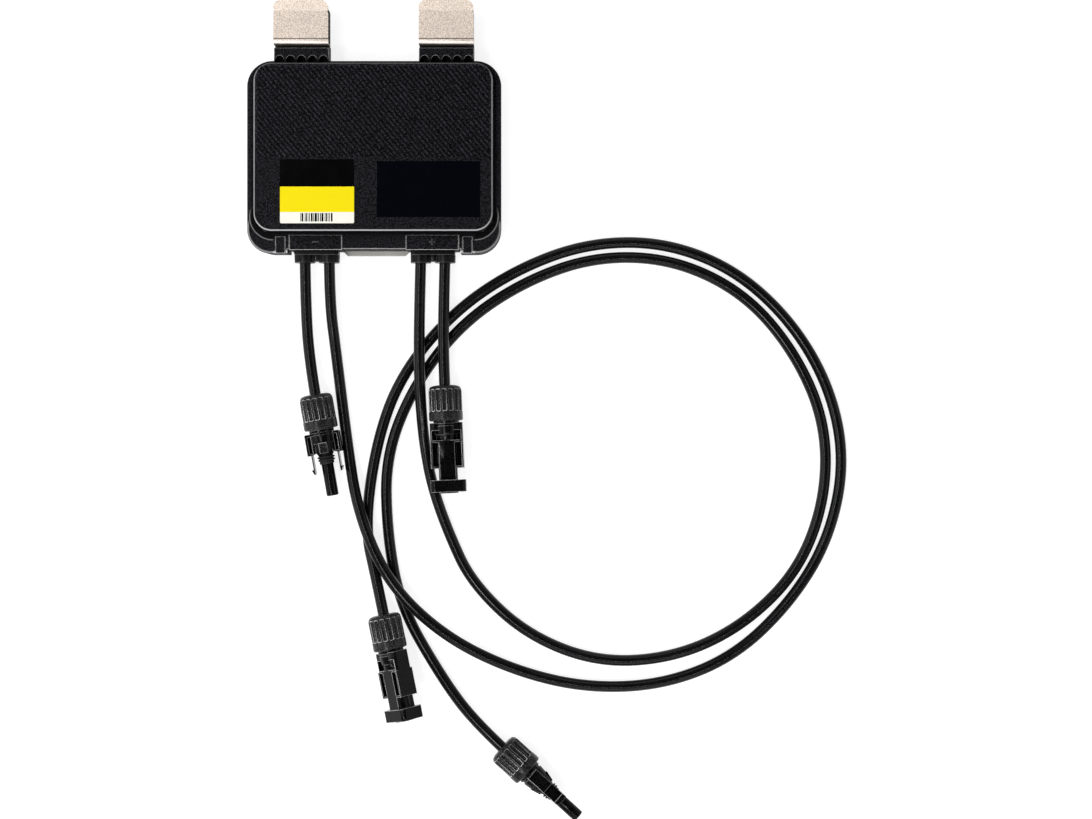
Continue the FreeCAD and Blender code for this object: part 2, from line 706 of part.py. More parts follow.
def make_clip(side, sign):
    """Fold one spring clip from sheet, with its rounded front leg and anchor tab."""
    body = new_body(f"frame_clip_{side}")
    sheet = "clip_sheet"
    inner, outer = f"clip_bend_out - {sheet}", "clip_bend_out"
    tip_top = "clip_front + clip_flare_rise"
    foot = "neck_bottom + tongue_thickness + clip_gap"
    profile = [
        (outer, foot), (outer, f"clip_front - {sheet}"), ("clip_flare_start", f"clip_front - {sheet}"),
        ("clip_tip", f"{tip_top} - {sheet}"), ("clip_tip", tip_top), ("clip_flare_start", "clip_front"),
        (inner, "clip_front"), (inner, foot),
    ]
    leg = pad(body, "strip", "-clip_half", "2 * clip_half", [profile], plane="YZ_Plane")
    leg.Profile[0].setExpression("AttachmentOffset.Base.z", bind(f"{sign} * clip_x - clip_half"))
    bend, top = size("clip_bend_out"), size("clip_front")
    sheet_now, long = size("clip_sheet"), 2 * size("clip_half")
    dress(body, "inner_bend", "Fillet", "clip_bend_radius",
          lambda edge, mid: near(mid.y, bend) and near(mid.z, top - sheet_now) and near(edge.Length, long))
    dress(body, "outer_bend", "Fillet", f"clip_bend_radius + {sheet}",
          lambda edge, mid: near(mid.y, bend - sheet_now) and near(mid.z, top) and near(edge.Length, long))
    dress(body, "tip_corners", "Fillet", "clip_corner_radius",
          lambda edge, mid: near(mid.y, size("clip_tip")) and near(edge.Length, size("clip_sheet"))
          and near(abs(mid.x - float(sign) * size("clip_x")), size("clip_half")))
    for step, end in (("low", "-1"), ("high", "1")):
        edge_x = f"{sign} * clip_x + {end} * clip_half"
        block(body, f"bend_notch_{step}", "Subtractive",
              (f"{edge_x} - clip_notch / 2", f"{edge_x} + clip_notch / 2"),
              ("clip_flare_start - clip_notch", "clip_flare_start"), ("clip_front - 3", "clip_front + 1"))
    middle = f"{sign} * clip_x"
    block(body, "anchor_tab", "Additive",
          (f"{middle} - clip_tab_half", f"{middle} + clip_tab_half"),
          ("neck_top - clip_tab_reach", f"{inner} + 0.1"),
          ("clip_tab_bottom", f"clip_tab_bottom + {sheet}"))
    return body


def make_gland(side, sign):
    """Make one rubber gland: flange, two bosses, web, ears and mark."""
    body = new_body(f"gland_{side}")
    middle = f"{sign} * gland_x"
    front = "gland_block_front"
    block(body, "flange", "Additive", (f"{middle} - gland_half", f"{middle} + gland_half"),
          (f"{front} - gland_flange", front),
          ("cable_height - gland_half_height", "cable_height + gland_half_height"))
    dress(body, "flange_corners", "Fillet", "2.4",
          lambda edge, mid: near(edge.Length, size("gland_flange")))
    ends = [f"{middle} + {step} * cable_pitch / 2" for step in ("-1", "1")]
    pad(body, "bosses", f"-({front}) + gland_flange", f"{front} - gland_flange - gland_end",
        circles=[(x, "cable_height", "gland_boss_radius") for x in ends], plane="XZ_Plane")
    block(body, "web", "Additive", (ends[0], ends[1]), ("gland_end + 0.7", front),
          ("cable_height - 3.4", "cable_height + 3.4"))
    for step, end in (("low", "-1"), ("high", "1")):
        edge_x = f"{middle} + {end} * (gland_half - 1.4)"
        block(body, f"ear_{step}", "Additive", (f"{edge_x} - 1.4", f"{edge_x} + 1.4"),
              ("gland_end + 1.6", front), ("cable_height - 4", "cable_height + 2.5"))
    block(body, "mark", "Additive", (f"{middle} - 0.5", f"{middle} + 0.5"),
          ("gland_end + 1.4", f"{front} - gland_flange"), ("cable_height", "cable_height + 3.9"))
    pocket(body, "bores", f"-({front}) - 1", "gland_block_front - gland_end + 2",
           circles=[(x, "cable_height", "cable_radius + gland_bore_gap") for x in ends],
           plane="XZ_Plane", flip=True)
    return body


def make_electronics():
    """Make the board, what is soldered on it, its screws and the leads."""
    level, thick = "board_level", "board_thickness"
    face = f"({level} + {thick})"
    board = new_body("circuit_board")
    pad(board, "laminate", level, thick, [rectangle(
        "-board_half", "board_half", "board_bottom", "board_top")])
    pocket(board, "board_holes", f"{level} + {thick}", f"{thick} + 1",
           circles=[(x, y, "screw_radius + 0.1") for x, y in screw_places()])
    nodes = [board, group("board_screws", [make_screw(k, x, y)
                                           for k, (x, y) in enumerate(screw_places())])]
    nodes += make_inductor(face)
    nodes.append(group("capacitors", [
        solid_cylinder(f"capacitor_{k}", str(x), str(y), face, "5", "10.5")
        for k, (x, y) in enumerate(((12, 14), (24, 14), (36, 14)))]))
    nodes.append(group("switching_transistors", [
        solid_box(f"transistor_{k}", (f"{x}", f"{x} + 8"), ("-20", "-10"), (face, f"{face} + 2.4"))
        for k, x in enumerate((2, 13, 24, 35))]))
    nodes.append(solid_box("control_chip", ("-8", "0"), ("12", "20"), (face, f"{face} + 1.2")))
    nodes.append(make_shield(face))
    nodes.append(group("terminals", [make_terminal(k, x, face) for k, x in enumerate(cable_places())]))
    nodes.append(group("lead_conductors", [
        solid_cylinder(f"lead_{k}", x, "board_bottom + 2", "cable_height", "lead_radius",
                       "board_bottom + 2 - cable_start", V(0, -1, 0))
        for k, x in enumerate(cable_places())]))
    return nodes


def make_screw(number, x, y):
    """Make one board screw: shank and pan head."""
    shank = solid_cylinder(f"shank_{number}", x, y, "base_floor_top", "screw_radius",
                           "board_level + board_thickness - base_floor_top")
    head = solid_cylinder(f"head_{number}", x, y, "board_level + board_thickness",
                          "screw_head_radius", "screw_head_height")
    socket = solid_cylinder(f"drive_{number}", x, y,
                            "board_level + board_thickness + screw_head_height - 1", "1.2", "2")
    return cut(f"screw_{number}", fuse(f"screw_blank_{number}", [shank, head]), socket)


def make_inductor(face):
    """Make the power inductor: a frame core with a centre leg, and the coil round the leg."""
    left = "inductor_left"
    leg = (f"{left} + 12", f"{left} + 18")
    low, high = f"{face} + 2.5", f"{face} + 8.5"
    outer = solid_box("core_outer", (left, f"{left} + 30"), ("-14", "14"), (face, f"{face} + 11"))
    window = solid_box("core_window", (f"{left} + 5", f"{left} + 25"), ("-9", "9"), (f"{face} - 1", f"{face} + 12"))
    frame = cut("core_frame", outer, window)
    core = fuse("inductor_core", [frame, solid_box("core_leg", leg, ("-9.5", "9.5"), (low, high))])
    outside = solid_box("coil_outer", (f"{left} + 6.5", f"{left} + 23.5"), ("-8.6", "8.6"),
                        (f"{face} + 0.6", f"{face} + 10.4"))
    hole = solid_box("coil_hole", leg, ("-10", "10"), (low, high))
    return [core, cut("inductor_winding", outside, hole)]


def make_shield(face):
    """Make the radio can: a thin lidded box."""
    outer = solid_box("can_outer", ("-12", "8"), ("-34", "-22"), (face, f"{face} + 3.2"))
    inner = solid_box("can_inner", ("-11.7", "7.7"), ("-33.7", "-22.3"), (f"{face} - 1", f"{face} + 2.9"))
    return cut("radio_shield", outer, inner)


def make_terminal(number, x, face):
    """Make one lead terminal: a block on the board with a bore for the lead."""
    block_part = solid_box(f"terminal_block_{number}", (f"{x} - 3.2", f"{x} + 3.2"),
                           ("board_bottom", "board_bottom + 7"), (face, "cable_height + 3"))
    bore = solid_cylinder(f"terminal_bore_{number}", x, "board_bottom + 2.02", "cable_height",
                          "lead_radius + 0.02", "10", V(0, -1, 0))
    return cut(f"terminal_{number}", block_part, bore)


def make_nut(name):
    """Make one cap nut: rounded shoulder, fluted grip, smooth collar, cable hole."""
    body = new_body(name)
    bore, hole = "barrel_radius + thread_gap", "cable_radius + nut_hole_gap"
    turn(body, "nut_blank", [
        (hole, "0"), ("nut_radius - nut_shoulder - 0.4", "0"),
        ("nut_radius - nut_shoulder * 0.45", "nut_shoulder * 0.22"),
        ("nut_radius - 0.25", "nut_shoulder * 0.72"), ("nut_radius", "nut_shoulder * 1.4"),
        ("nut_radius", "nut_flute_end + 0.2"), ("nut_collar_radius", "nut_flute_end + 0.7"),
        ("nut_collar_radius", "nut_length - 0.6"), ("nut_collar_radius - 0.6", "nut_length"),
        (bore, "nut_length"), (bore, "nut_wall"), (hole, "nut_wall"),
    ])
    flute = pocket(body, "flute", "-nut_flute_start", "nut_flute_end - nut_flute_start",
                   circles=[("0", "nut_radius + nut_flute_offset", "nut_flute_radius")],
                   plane="XZ_Plane")
    ring = body.newObject("PartDesign::PolarPattern", "flutes")
    ring.Originals = [flute]
    ring.Axis = ([item for item in body.Origin.OriginFeatures if item.Role == "Y_Axis"][0], [""])
    ring.Angle = 360
    ring.setExpression("Occurrences", "sizes.nut_flutes")
    body.Tip = ring
    return body


def make_clamp_ring(name):
    """Make the split cage that the nut presses on the cable seal."""
    body = new_body(name)
    outer, hole = "barrel_radius + thread_gap - ring_gap", "cable_radius + cable_gap"
    turn(body, "cage", [
        (hole, "nut_wall + 0.05"), (f"{outer} - 1.2", "nut_wall + 0.05"),
        (outer, "nut_wall + 1.3"), (outer, "barrel_start - ring_gap"), (hole, "barrel_start - ring_gap"),
    ])
    return body


def make_cable_seal(name):
    """Make the rubber sleeve round the cable end inside the barrel."""
    body = new_body(name)
    turn(body, "sleeve", [
        ("cable_radius + 0.05", "barrel_start"), ("barrel_bore", "barrel_start"),
        ("barrel_bore", "cable_end"), ("cable_radius + 0.05", "cable_end"),
    ])
    return body


def turn_barrel(body, name, nose):
    """Turn the threaded barrel and what follows it, given the outer nose points."""
    turn(body, name, [
        ("barrel_bore", "barrel_start"), ("barrel_radius", "barrel_start"),
        ("barrel_radius", "nut_length + 0.2"), *nose,
        ("contact_radius + 0.05", "barrel_bore_end"), ("barrel_bore", "barrel_bore_end"),
    ])


def barrel_front(radius):
    """List the points from the barrel's end collar to its rounded nose."""
    return [
        (radius, "nut_length + 0.2"), (radius, "nut_length + 1.7"),
        (f"{radius} - 0.7", "nut_length + 1.9"), (f"{radius} - 0.7", "nut_length + 2.8"),
        (f"{radius} - 0.1", "nut_length + 3"), ("plug_band", "plug_band_end"),
        ("plug_nose", "plug_band_end + 0.3"), ("plug_nose", "plug_nose_full"),
    ]


def make_plug_body(name):
    """Make the plug housing: barrel, nose, wings with latch arms, pads, insulating tube."""
    body = new_body(name)
    seat = "plug_tube_radius - plug_seal_groove"
    turn_barrel(body, "plug_turned", [
        *barrel_front("plug_collar"),
        ("plug_nose - 0.5", "plug_nose_full + 2"), ("plug_nose - 1.4", "plug_nose_end - 0.8"),
        ("plug_nose - 1.8", "plug_nose_end"), (seat, "plug_nose_end"), (seat, "plug_seal_end"),
        ("plug_tube_radius", "plug_seal_end"),
        ("plug_tube_radius", "plug_length - 0.5"), ("plug_tube_radius - 0.5", "plug_length"),
        ("plug_tube_bore", "plug_length"), ("plug_tube_bore", "plug_nose_end"),
        ("contact_radius + 0.05", "plug_nose_end"),
    ])
    for side, sign in (("low", "-1"), ("high", "1")):
        outline = [
            (f"{sign} * 4.5", "wing_start + 1"), (f"{sign} * (wing_half - wing_width)", "wing_start + 1"),
            (f"{sign} * (wing_half - wing_width)", "wing_start"), (f"{sign} * (wing_half - 0.5)", "wing_start"),
            (f"{sign} * wing_half", "wing_start + 0.5"), (f"{sign} * wing_half", "wing_end"),
            (f"{sign} * (arm_x + arm_thickness / 2)", "wing_end"),
            (f"{sign} * (arm_x + arm_thickness / 2)", "arm_end - barb_length"),
            (f"{sign} * (arm_x + arm_thickness / 2 + barb_reach)", "arm_end - barb_length"),
            (f"{sign} * (arm_x + arm_thickness / 2)", "arm_end"),
            (f"{sign} * (arm_x - arm_thickness / 2)", "arm_end"),
            (f"{sign} * (arm_x - arm_thickness / 2)", "wing_end"),
            (f"{sign} * 4.5", "wing_end - 1"),
        ]
        pad(body, f"latch_{side}", "-wing_thickness / 2", "wing_thickness", [outline])
        ends = (f"{sign} * (wing_half - wing_rail) - wing_recess * {(int(sign) + 1) // 2}",
                f"{sign} * (wing_half - wing_rail) + wing_recess * {(1 - int(sign)) // 2}")
        for face, low, high in (("back", "-wing_thickness", "-wing_web / 2"),
                                ("front", "wing_web / 2", "wing_thickness")):
            block(body, f"recess_{side}_{face}", "Subtractive", ends, ("wing_start + 1.6", "wing_end - 1"),
                  (low, high))
    for side, sign in (("back", "-1"), ("front", "1")):
        pad(body, f"pad_{side}", "-pad_half", "2 * pad_half", [[
            ("pad_start", f"{sign} * 3.5"), ("pad_start", f"{sign} * pad_high"),
            ("pad_end", f"{sign} * pad_low"), ("pad_end", f"{sign} * 3.5"),
        ]], plane="YZ_Plane")
    return body


def make_socket_body(name):
    """Make the socket housing: barrel in its frame, centre panel, rails, notch and slotted flange."""
    body = new_body(name)
    wide, deep = "socket_half_width", "socket_half_depth"
    block(body, "frame", "Additive", (f"-{wide}", wide), ("nut_length + 1.2", "shoulder_end"),
          (f"-{deep}", deep))
    dress(body, "frame_edges", "Fillet", "2.2",
          lambda edge, mid: near(abs(mid.x), size("socket_half_width"))
          and near(abs(mid.z), size("socket_half_depth")))
    for face, low, high in (("front", "window_floor", f"{deep} + 1"), ("back", f"-{deep} - 1", "-window_floor")):
        block(body, f"window_{face}", "Subtractive", (f"rail_width - {wide}", f"{wide} - rail_width"),
              ("window_start", "shoulder_end - 1.1"), (low, high))
    turn_barrel(body, "socket_turned", [
        *barrel_front("barrel_radius - 0.1"), ("socket_tube_radius", "shoulder_end - 0.4"),
        ("socket_tube_radius", "socket_length"), ("socket_bore", "socket_length"),
        ("socket_bore", "socket_length - socket_bore_depth"),
        ("contact_radius + 0.05", "socket_length - socket_bore_depth"),
    ])
    for side, low, high in (("low", f"-{wide}", f"-{wide} + rail_width"), ("high", f"{wide} - rail_width", wide)):
        block(body, f"rail_{side}", "Additive", (low, high), ("shoulder_end - 0.5", "rail_end"),
              ("-rail_half_depth", "rail_half_depth"))
    block(body, "web", "Additive", (f"0.5 - {wide}", f"{wide} - 0.5"), ("shoulder_end - 0.5", "rail_end"),
          ("-web_half_depth", "web_half_depth"))
    block(body, "cross_bar", "Additive", (f"-{wide}", wide), ("rail_end - rail_width", "rail_end"),
          ("0.4 - rail_half_depth", "rail_half_depth - 0.4"))
    block(body, "panel", "Additive", ("-panel_half", "panel_half"), ("shoulder_end - 0.5", "flange_start + 1"),
          ("-panel_half_depth", "panel_half_depth"))
    block(body, "flange", "Additive", ("-flange_half_width", "flange_half_width"),
          ("flange_start", "socket_length - 0.6"), ("-flange_half_depth", "flange_half_depth"))
    dress(body, "flange_edges", "Fillet", "2.6",
          lambda edge, mid: near(abs(mid.x), size("flange_half_width"))
          and near(abs(mid.z), size("flange_half_depth")))
    for side in ("low", "high"):
        ends = ("-slot_outer", "-slot_inner") if side == "low" else ("slot_inner", "slot_outer")
        block(body, f"latch_slot_{side}", "Subtractive", ends, ("flange_start - 1", "socket_length + 1"),
              ("-slot_half", "slot_half"))
    pocket(body, "contact_bore", "-barrel_bore_end", "socket_length - socket_bore_depth - barrel_bore_end",
           circles=[("0", "0", "contact_radius + 0.05")], plane="XZ_Plane")
    pocket(body, "tube_bore", "-(socket_length - socket_bore_depth)", "socket_bore_depth + 1",
           circles=[("0", "0", "socket_bore")], plane="XZ_Plane")
    pocket(body, "mouth", "-(socket_length - mouth_depth)", "mouth_depth + 1",
           circles=[("0", "0", "mouth_radius")], plane="XZ_Plane")
    return body


def make_contact(name, end, tip):
    """Turn one contact: crimp barrel, body and the pin or sleeve at its tip."""
    body = new_body(name)
    turn(body, "contact_turned", [("0", "cable_end"), ("contact_radius", "cable_end"),
                                  ("contact_radius", end), *tip])
    return body


def placed(name, item):
    """Move a connector piece from its own axis to where the connector lies."""
    entry, heading, lift, roll = CONNECTORS[name]
    turned = (FreeCAD.Rotation(V(0, 0, 1), 180 + heading) * FreeCAD.Rotation(V(1, 0, 0), lift)
              * FreeCAD.Rotation(V(0, 1, 0), roll))
    item.Placement = FreeCAD.Placement(V(*entry), turned)
    return item


def make_plug(name):
    """Make the six pieces of one plug."""
    ring = new_body(f"{name}_seal_ring")
    steps = []
    third = "(plug_seal_end - plug_nose_end) / 3"
    for k, drop in enumerate(("0", "0.1", "0.8")):
        base = f"plug_nose_end + {k} * {third}"
        steps += [("plug_seal_radius - 1", base), (f"plug_seal_radius - {drop}", f"{base} + {third} * 0.35"),
                  (f"plug_seal_radius - {drop}", f"{base} + {third} * 0.65")]
    seat = "plug_tube_radius - plug_seal_groove"
    turn(ring, "ribbed", [(seat, "plug_nose_end"), *steps,
                          ("plug_seal_radius - 1", "plug_seal_end"), (seat, "plug_seal_end")])
    sleeve_end = "plug_length - 1.2"
    tip = [("contact_radius", sleeve_end), ("1.6", sleeve_end), ("1.6", "plug_nose_end + 4"),
           ("0", "plug_nose_end + 4")]
    pieces = [make_plug_body(f"{name}_body"), make_contact(f"{name}_contact", "plug_nose_end", tip), ring,
              make_cable_seal(f"{name}_cable_seal"), make_clamp_ring(f"{name}_clamp_ring"),
              make_nut(f"{name}_cap_nut")]
    return [placed(name, piece) for piece in pieces]


def make_socket(name):
    """Make the five pieces of one socket."""
    pin_end = "socket_length - pin_recess"
    tip = [("pin_radius", "socket_length - socket_bore_depth"), ("pin_radius", f"{pin_end} - 1"),
           ("pin_radius - 0.7", pin_end), ("0", pin_end)]
    pieces = [make_socket_body(f"{name}_body"),
              make_contact(f"{name}_contact", "socket_length - socket_bore_depth", tip),
              make_cable_seal(f"{name}_cable_seal"), make_clamp_ring(f"{name}_clamp_ring"),
              make_nut(f"{name}_cap_nut")]
    return [placed(name, piece) for piece in pieces]


def make_cable(name, route):
    """Run one cable tube along straight runs joined by tangent arcs."""
    points = [V(*point) for point in route]
    edges, radii = [], []
    last = points[0]
    for before, corner, after in zip(points, points[1:], points[2:]):
        into, out = (corner - before).normalize(), (after - corner).normalize()
        reach = 0.45 * min((corner - before).Length, (after - corner).Length)
        half = into.getAngle(out) / 2
        radius = reach / math.tan(half)
        start, stop = corner - into * reach, corner + out * reach
        bisector = (out - into).normalize()
        middle = corner + bisector * (radius / math.cos(half) - radius)
        edges.append(Part.LineSegment(last, start).toShape())
        edges.append(Part.Arc(start, middle, stop).toShape())
        radii.append(radius)
        last = stop
    edges.append(Part.LineSegment(last, points[-1]).toShape())
    path = Part.Wire(edges)
    first = (points[1] - points[0]).normalize()
    section = Part.Wire([Part.Circle(points[0], first, size("cable_radius")).toShape()])
    tube = path.makePipeShell([section], True, False)
    expected = math.pi * size("cable_radius") ** 2 * path.Length
    print(f"{name}: length {path.Length:.1f}, least radius {min(radii):.1f}, "
          f"lowest {tube.optimalBoundingBox().ZMin:.2f}, volume over section times length "
          f"{tube.Volume / expected:.4f}")
    item = DOC.addObject("Part::Feature", name)
    item.Shape = tube
    item.Label = name
    return item


def write(nodes):
    """Check every object and write one file for each node."""
    DOC.recompute()
    for item in DOC.Objects:
        if "Invalid" in item.State or "Error" in item.State:
            raise ValueError(f"{item.Name}: {item.State}")
    for node in nodes:
        shape = node.Shape
        if shape.isNull() or not shape.isValid():
            raise ValueError(f"{node.Label}: shape is not valid")
        shape.exportStep(os.path.join("parts", node.Label + ".step"))
        box = shape.BoundBox
        print(f"{node.Label}: {len(shape.Solids)} solids, volume {shape.Volume:.1f}, "
              f"x {box.XMin:.2f} {box.XMax:.2f} y {box.YMin:.2f} {box.YMax:.2f} "
              f"z {box.ZMin:.2f} {box.ZMax:.2f}")


def main():
    """Build all sub-parts in order and write them."""
    nodes = [make_base_shell(), make_front_cover(), make_gasket(), make_back_plate()]
    nodes += make_labels()
    for side, sign in (("left", "-1"), ("right", "1")):
        nodes.append(make_clip(side, sign))
        nodes.append(make_gland(side, sign))
    nodes += make_electronics()
    nodes += make_plug("left_plug") + make_plug("long_plug")
    nodes += make_socket("right_socket") + make_socket("long_socket")
    nodes.append(make_cable("short_cable_left", ROUTE_SHORT_LEFT))
    nodes.append(make_cable("long_cable_left", ROUTE_LONG_LEFT))
    nodes.append(make_cable("long_cable_right", ROUTE_LONG_RIGHT))
    nodes.append(make_cable("short_cable_right", ROUTE_SHORT_RIGHT))
    write(nodes)


main()
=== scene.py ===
import logging
import math
from dataclasses import dataclass, field, replace
from enum import Enum
from typing import ClassVar

import bpy
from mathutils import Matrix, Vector


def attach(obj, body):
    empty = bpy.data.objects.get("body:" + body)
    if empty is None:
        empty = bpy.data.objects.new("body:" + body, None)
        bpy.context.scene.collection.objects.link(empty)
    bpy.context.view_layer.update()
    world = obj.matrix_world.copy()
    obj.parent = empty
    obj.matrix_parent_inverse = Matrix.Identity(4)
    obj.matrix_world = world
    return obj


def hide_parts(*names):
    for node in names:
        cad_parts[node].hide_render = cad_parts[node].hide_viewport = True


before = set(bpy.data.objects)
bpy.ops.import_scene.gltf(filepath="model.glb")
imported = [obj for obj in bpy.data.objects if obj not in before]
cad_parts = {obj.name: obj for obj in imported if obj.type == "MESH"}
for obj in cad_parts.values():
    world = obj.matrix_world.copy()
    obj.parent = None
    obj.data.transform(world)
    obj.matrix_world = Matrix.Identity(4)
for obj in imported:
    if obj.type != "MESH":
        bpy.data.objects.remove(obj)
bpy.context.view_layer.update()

ROOT = "optimizer"
LOG = logging.getLogger("solar_power_optimizer")
Socket = bpy.types.NodeSocket
Point = tuple[float, float, float]
Colour = tuple[float, float, float]
Span = tuple[float, float]


class Grain(Enum):
    """How the skin of a moulded or rolled surface is broken up."""

    FINE = "fine"
    SMOOTH = "smooth"
    ROLLED = "rolled"


class Nodes:
    """Lays out the nodes of one material, in the object's own metres."""

    # Shares of the noise at which a blend of two colours starts and ends.
    BLEND_ENDS: Span = (0.3, 0.7)
    # Rays that look for rounded edges and for shade.
    ROUNDING_SAMPLES: int = 8
    SHADE_SAMPLES: int = 6
    # Upward part of the skin's normal over which an upper edge's painted highlight rises, then falls.
    RIM_LOW: Span = (0.35, 0.6)
    RIM_HIGH: Span = (0.95, 0.82)
    # Metres over which an upper edge's painted highlight fades beside and beyond its unmarked stretch.
    ZONE_FADE: Span = (0.002, 0.001)
    ZONE_BEYOND: float = 0.01
    # Metres over which the narrow line of painted shade and the ribbed field fade.
    LINE_FADE: float = 0.0002
    # Upward part of the normal at which a bend's painted shade starts, and is full.
    BEND: Span = (0.65, 0.15)
    # Painted highlight on sharp edges: likeness of the rounded to the true normal, lean to -X towards the
    # lamps, and the share that follows it.
    GLINT_SHARPNESS: Span = (0.985, 0.9)
    GLINT_LEAN: Span = (0.25, -0.35)
    GLINT_SHARE: float = 0.7
    # Painted channel at the lid's corner, painted shade with a painted highlight on its lip, in metres: ends on
    # X and Y, soft wall, lip's rise and fall.
    CHANNEL_ACROSS: Span = (-0.001, 0.0005)
    CHANNEL_DOWN: Span = (-0.006, 0.0)
    CHANNEL_WALL: float = 0.0003
    LIP_RISE: Span = (-0.0001, 0.0002)
    LIP_FALL: Span = (0.0008, 0.0004)
    # Scored field: upward part of a level skin, half height of a floor's edge, and both tones: the painted
    # highlight that lightens the ribbed field, and the painted shade in the floors.
    LEVEL_SKIN: Span = (0.96, 0.98)
    FLOOR_HALF: float = 0.0001
    RIB_GAIN: float = 0.6
    FLOOR_LOSS: float = 0.55

    def __init__(self, name: str) -> None:
        """Start a material with its principled shader.

        Args:
            name: name of the material.
        """
        self.material = bpy.data.materials.new(name)
        self.material.use_nodes = True
        self.tree = self.material.node_tree
        self.shader = self.tree.nodes["Principled BSDF"]
        frame_node = self.add("ShaderNodeTexCoord")
        self.place = frame_node.outputs["Object"]
        self.facing = frame_node.outputs["Normal"]

    def add(self, kind: str, **settings: object) -> bpy.types.Node:
        """Add one node.

        Args:
            kind: Blender's name of the node type.
            settings: properties of the node.

        Returns:
            The new node.
        """
        node = self.tree.nodes.new(kind)
        for key, value in settings.items():
            setattr(node, key, value)
        return node

    def link(self, source: Socket, target: Socket) -> None:
        """Join two sockets."""
        self.tree.links.new(source, target)

    def maths(self, operation: str, *values: object) -> Socket:
        """Compute one number from others.

        Args:
            operation: Blender's name of the operation.
            values: sockets or numbers, in the operation's order.

        Returns:
            The socket of the result.
        """
        node = self.add("ShaderNodeMath", operation=operation)
        for slot, value in zip(node.inputs, values):
            if isinstance(value, Socket):
                self.link(value, slot)
            else:
                slot.default_value = value
        return node.outputs[0]

    def noise(self, scale: float, detail: float = 2.0, stretch: Point = (1, 1, 1)) -> Socket:
        """Make a noise field in the object's own metres.

        Args:
            scale: features per metre.
            detail: octaves.
            stretch: factor on each axis.

        Returns:
            The socket of the value from 0 to 1.
        """
        mapping = self.add("ShaderNodeMapping")
        mapping.inputs["Scale"].default_value = stretch
        self.link(self.place, mapping.inputs["Vector"])
        node = self.add("ShaderNodeTexNoise")
        node.inputs["Scale"].default_value = scale
        node.inputs["Detail"].default_value = detail
        self.link(mapping.outputs[0], node.inputs["Vector"])
        return node.outputs["Fac"]

    def blend(self, share: Socket, low: Colour, high: Colour) -> Socket:
        """Mix two colours by a share.

        Args:
            share: socket from 0 to 1.
            low: colour at 0.
            high: colour at 1.

        Returns:
            The socket of the colour.
        """
        ramp = self.add("ShaderNodeValToRGB")
        for stop, place, colour in zip(ramp.color_ramp.elements, self.BLEND_ENDS, (low, high)):
            stop.position = place
            stop.color = (*colour, 1)
        self.link(share, ramp.inputs[0])
        return ramp.outputs[0]

    def spread(self, share: Socket, low: float, high: float,
               half: float = 0.25) -> Socket:
        """Map a share that lies around a middle of 0.5 onto a range.

        Args:
            share: socket of the share.
            low: value at the lower end.
            high: value at the upper end.
            half: distance of both ends from the middle.

        Returns:
            The socket of the value.
        """
        node = self.add("ShaderNodeMapRange")
        node.inputs["From Min"].default_value = 0.5 - half
        node.inputs["From Max"].default_value = 0.5 + half
        node.inputs["To Min"].default_value = low
        node.inputs["To Max"].default_value = high
        self.link(share, node.inputs["Value"])
        return node.outputs["Result"]

    def scaled(self, colour: Socket, factor: Socket) -> Socket:
        """Multiply a colour by a number.

        Args:
            colour: socket of the colour.
            factor: socket of the number.

        Returns:
            The socket of the product.
        """
        node = self.add("ShaderNodeVectorMath", operation="SCALE")
        self.link(colour, node.inputs[0])
        self.link(factor, node.inputs["Scale"])
        return node.outputs[0]

    def dimmed(self, mask: Socket, loss: float) -> Socket:
        """Compute the factor that takes a loss away where a mask is 1."""
        return self.maths("MULTIPLY_ADD", mask, -loss, 1.0)

    def lifted(self, colour: Socket, mask: Socket, amount: float) -> Socket:
        """Add a grey to a colour where a mask is 1.

        Args:
            colour: socket of the colour.
            mask: socket of the mask.
            amount: brightness of the grey.

        Returns:
            The socket of the sum.
        """
        node = self.add("ShaderNodeVectorMath", operation="MULTIPLY_ADD")
        self.link(mask, node.inputs[0])
        node.inputs[1].default_value = (amount, amount, amount)
        self.link(colour, node.inputs[2])
        return node.outputs[0]

    def step(self, value: Socket, start: float, end: float) -> Socket:
        """Rise smoothly from 0 to 1; a start above the end falls instead.

        Args:
            value: socket of the number to look at.
            start: number at which the result is 0.
            end: number at which it is 1.

        Returns:
            The socket of the result.
        """
        node = self.add("ShaderNodeMapRange", interpolation_type="SMOOTHSTEP")
        node.inputs["From Min"].default_value = start
        node.inputs["From Max"].default_value = end
        self.link(value, node.inputs["Value"])
        return node.outputs[0]

    def part_of(self, vector: Socket, axis: int) -> Socket:
        """Take one part of a vector.

        Args:
            vector: socket of the vector.
            axis: 0 for X to 2 for Z.

        Returns:
            The socket of that part.
        """
        split = self.add("ShaderNodeSeparateXYZ")
        self.link(vector, split.inputs[0])
        return split.outputs[axis]

    def rounded(self, reach: float) -> Socket:
        """Find the normal of the skin with its sharp edges rounded.

        Args:
            reach: radius of the rounding in metres.

        Returns:
            The socket of the normal.
        """
        node = self.add("ShaderNodeBevel", samples=self.ROUNDING_SAMPLES)
        node.inputs["Radius"].default_value = reach
        return node.outputs[0]

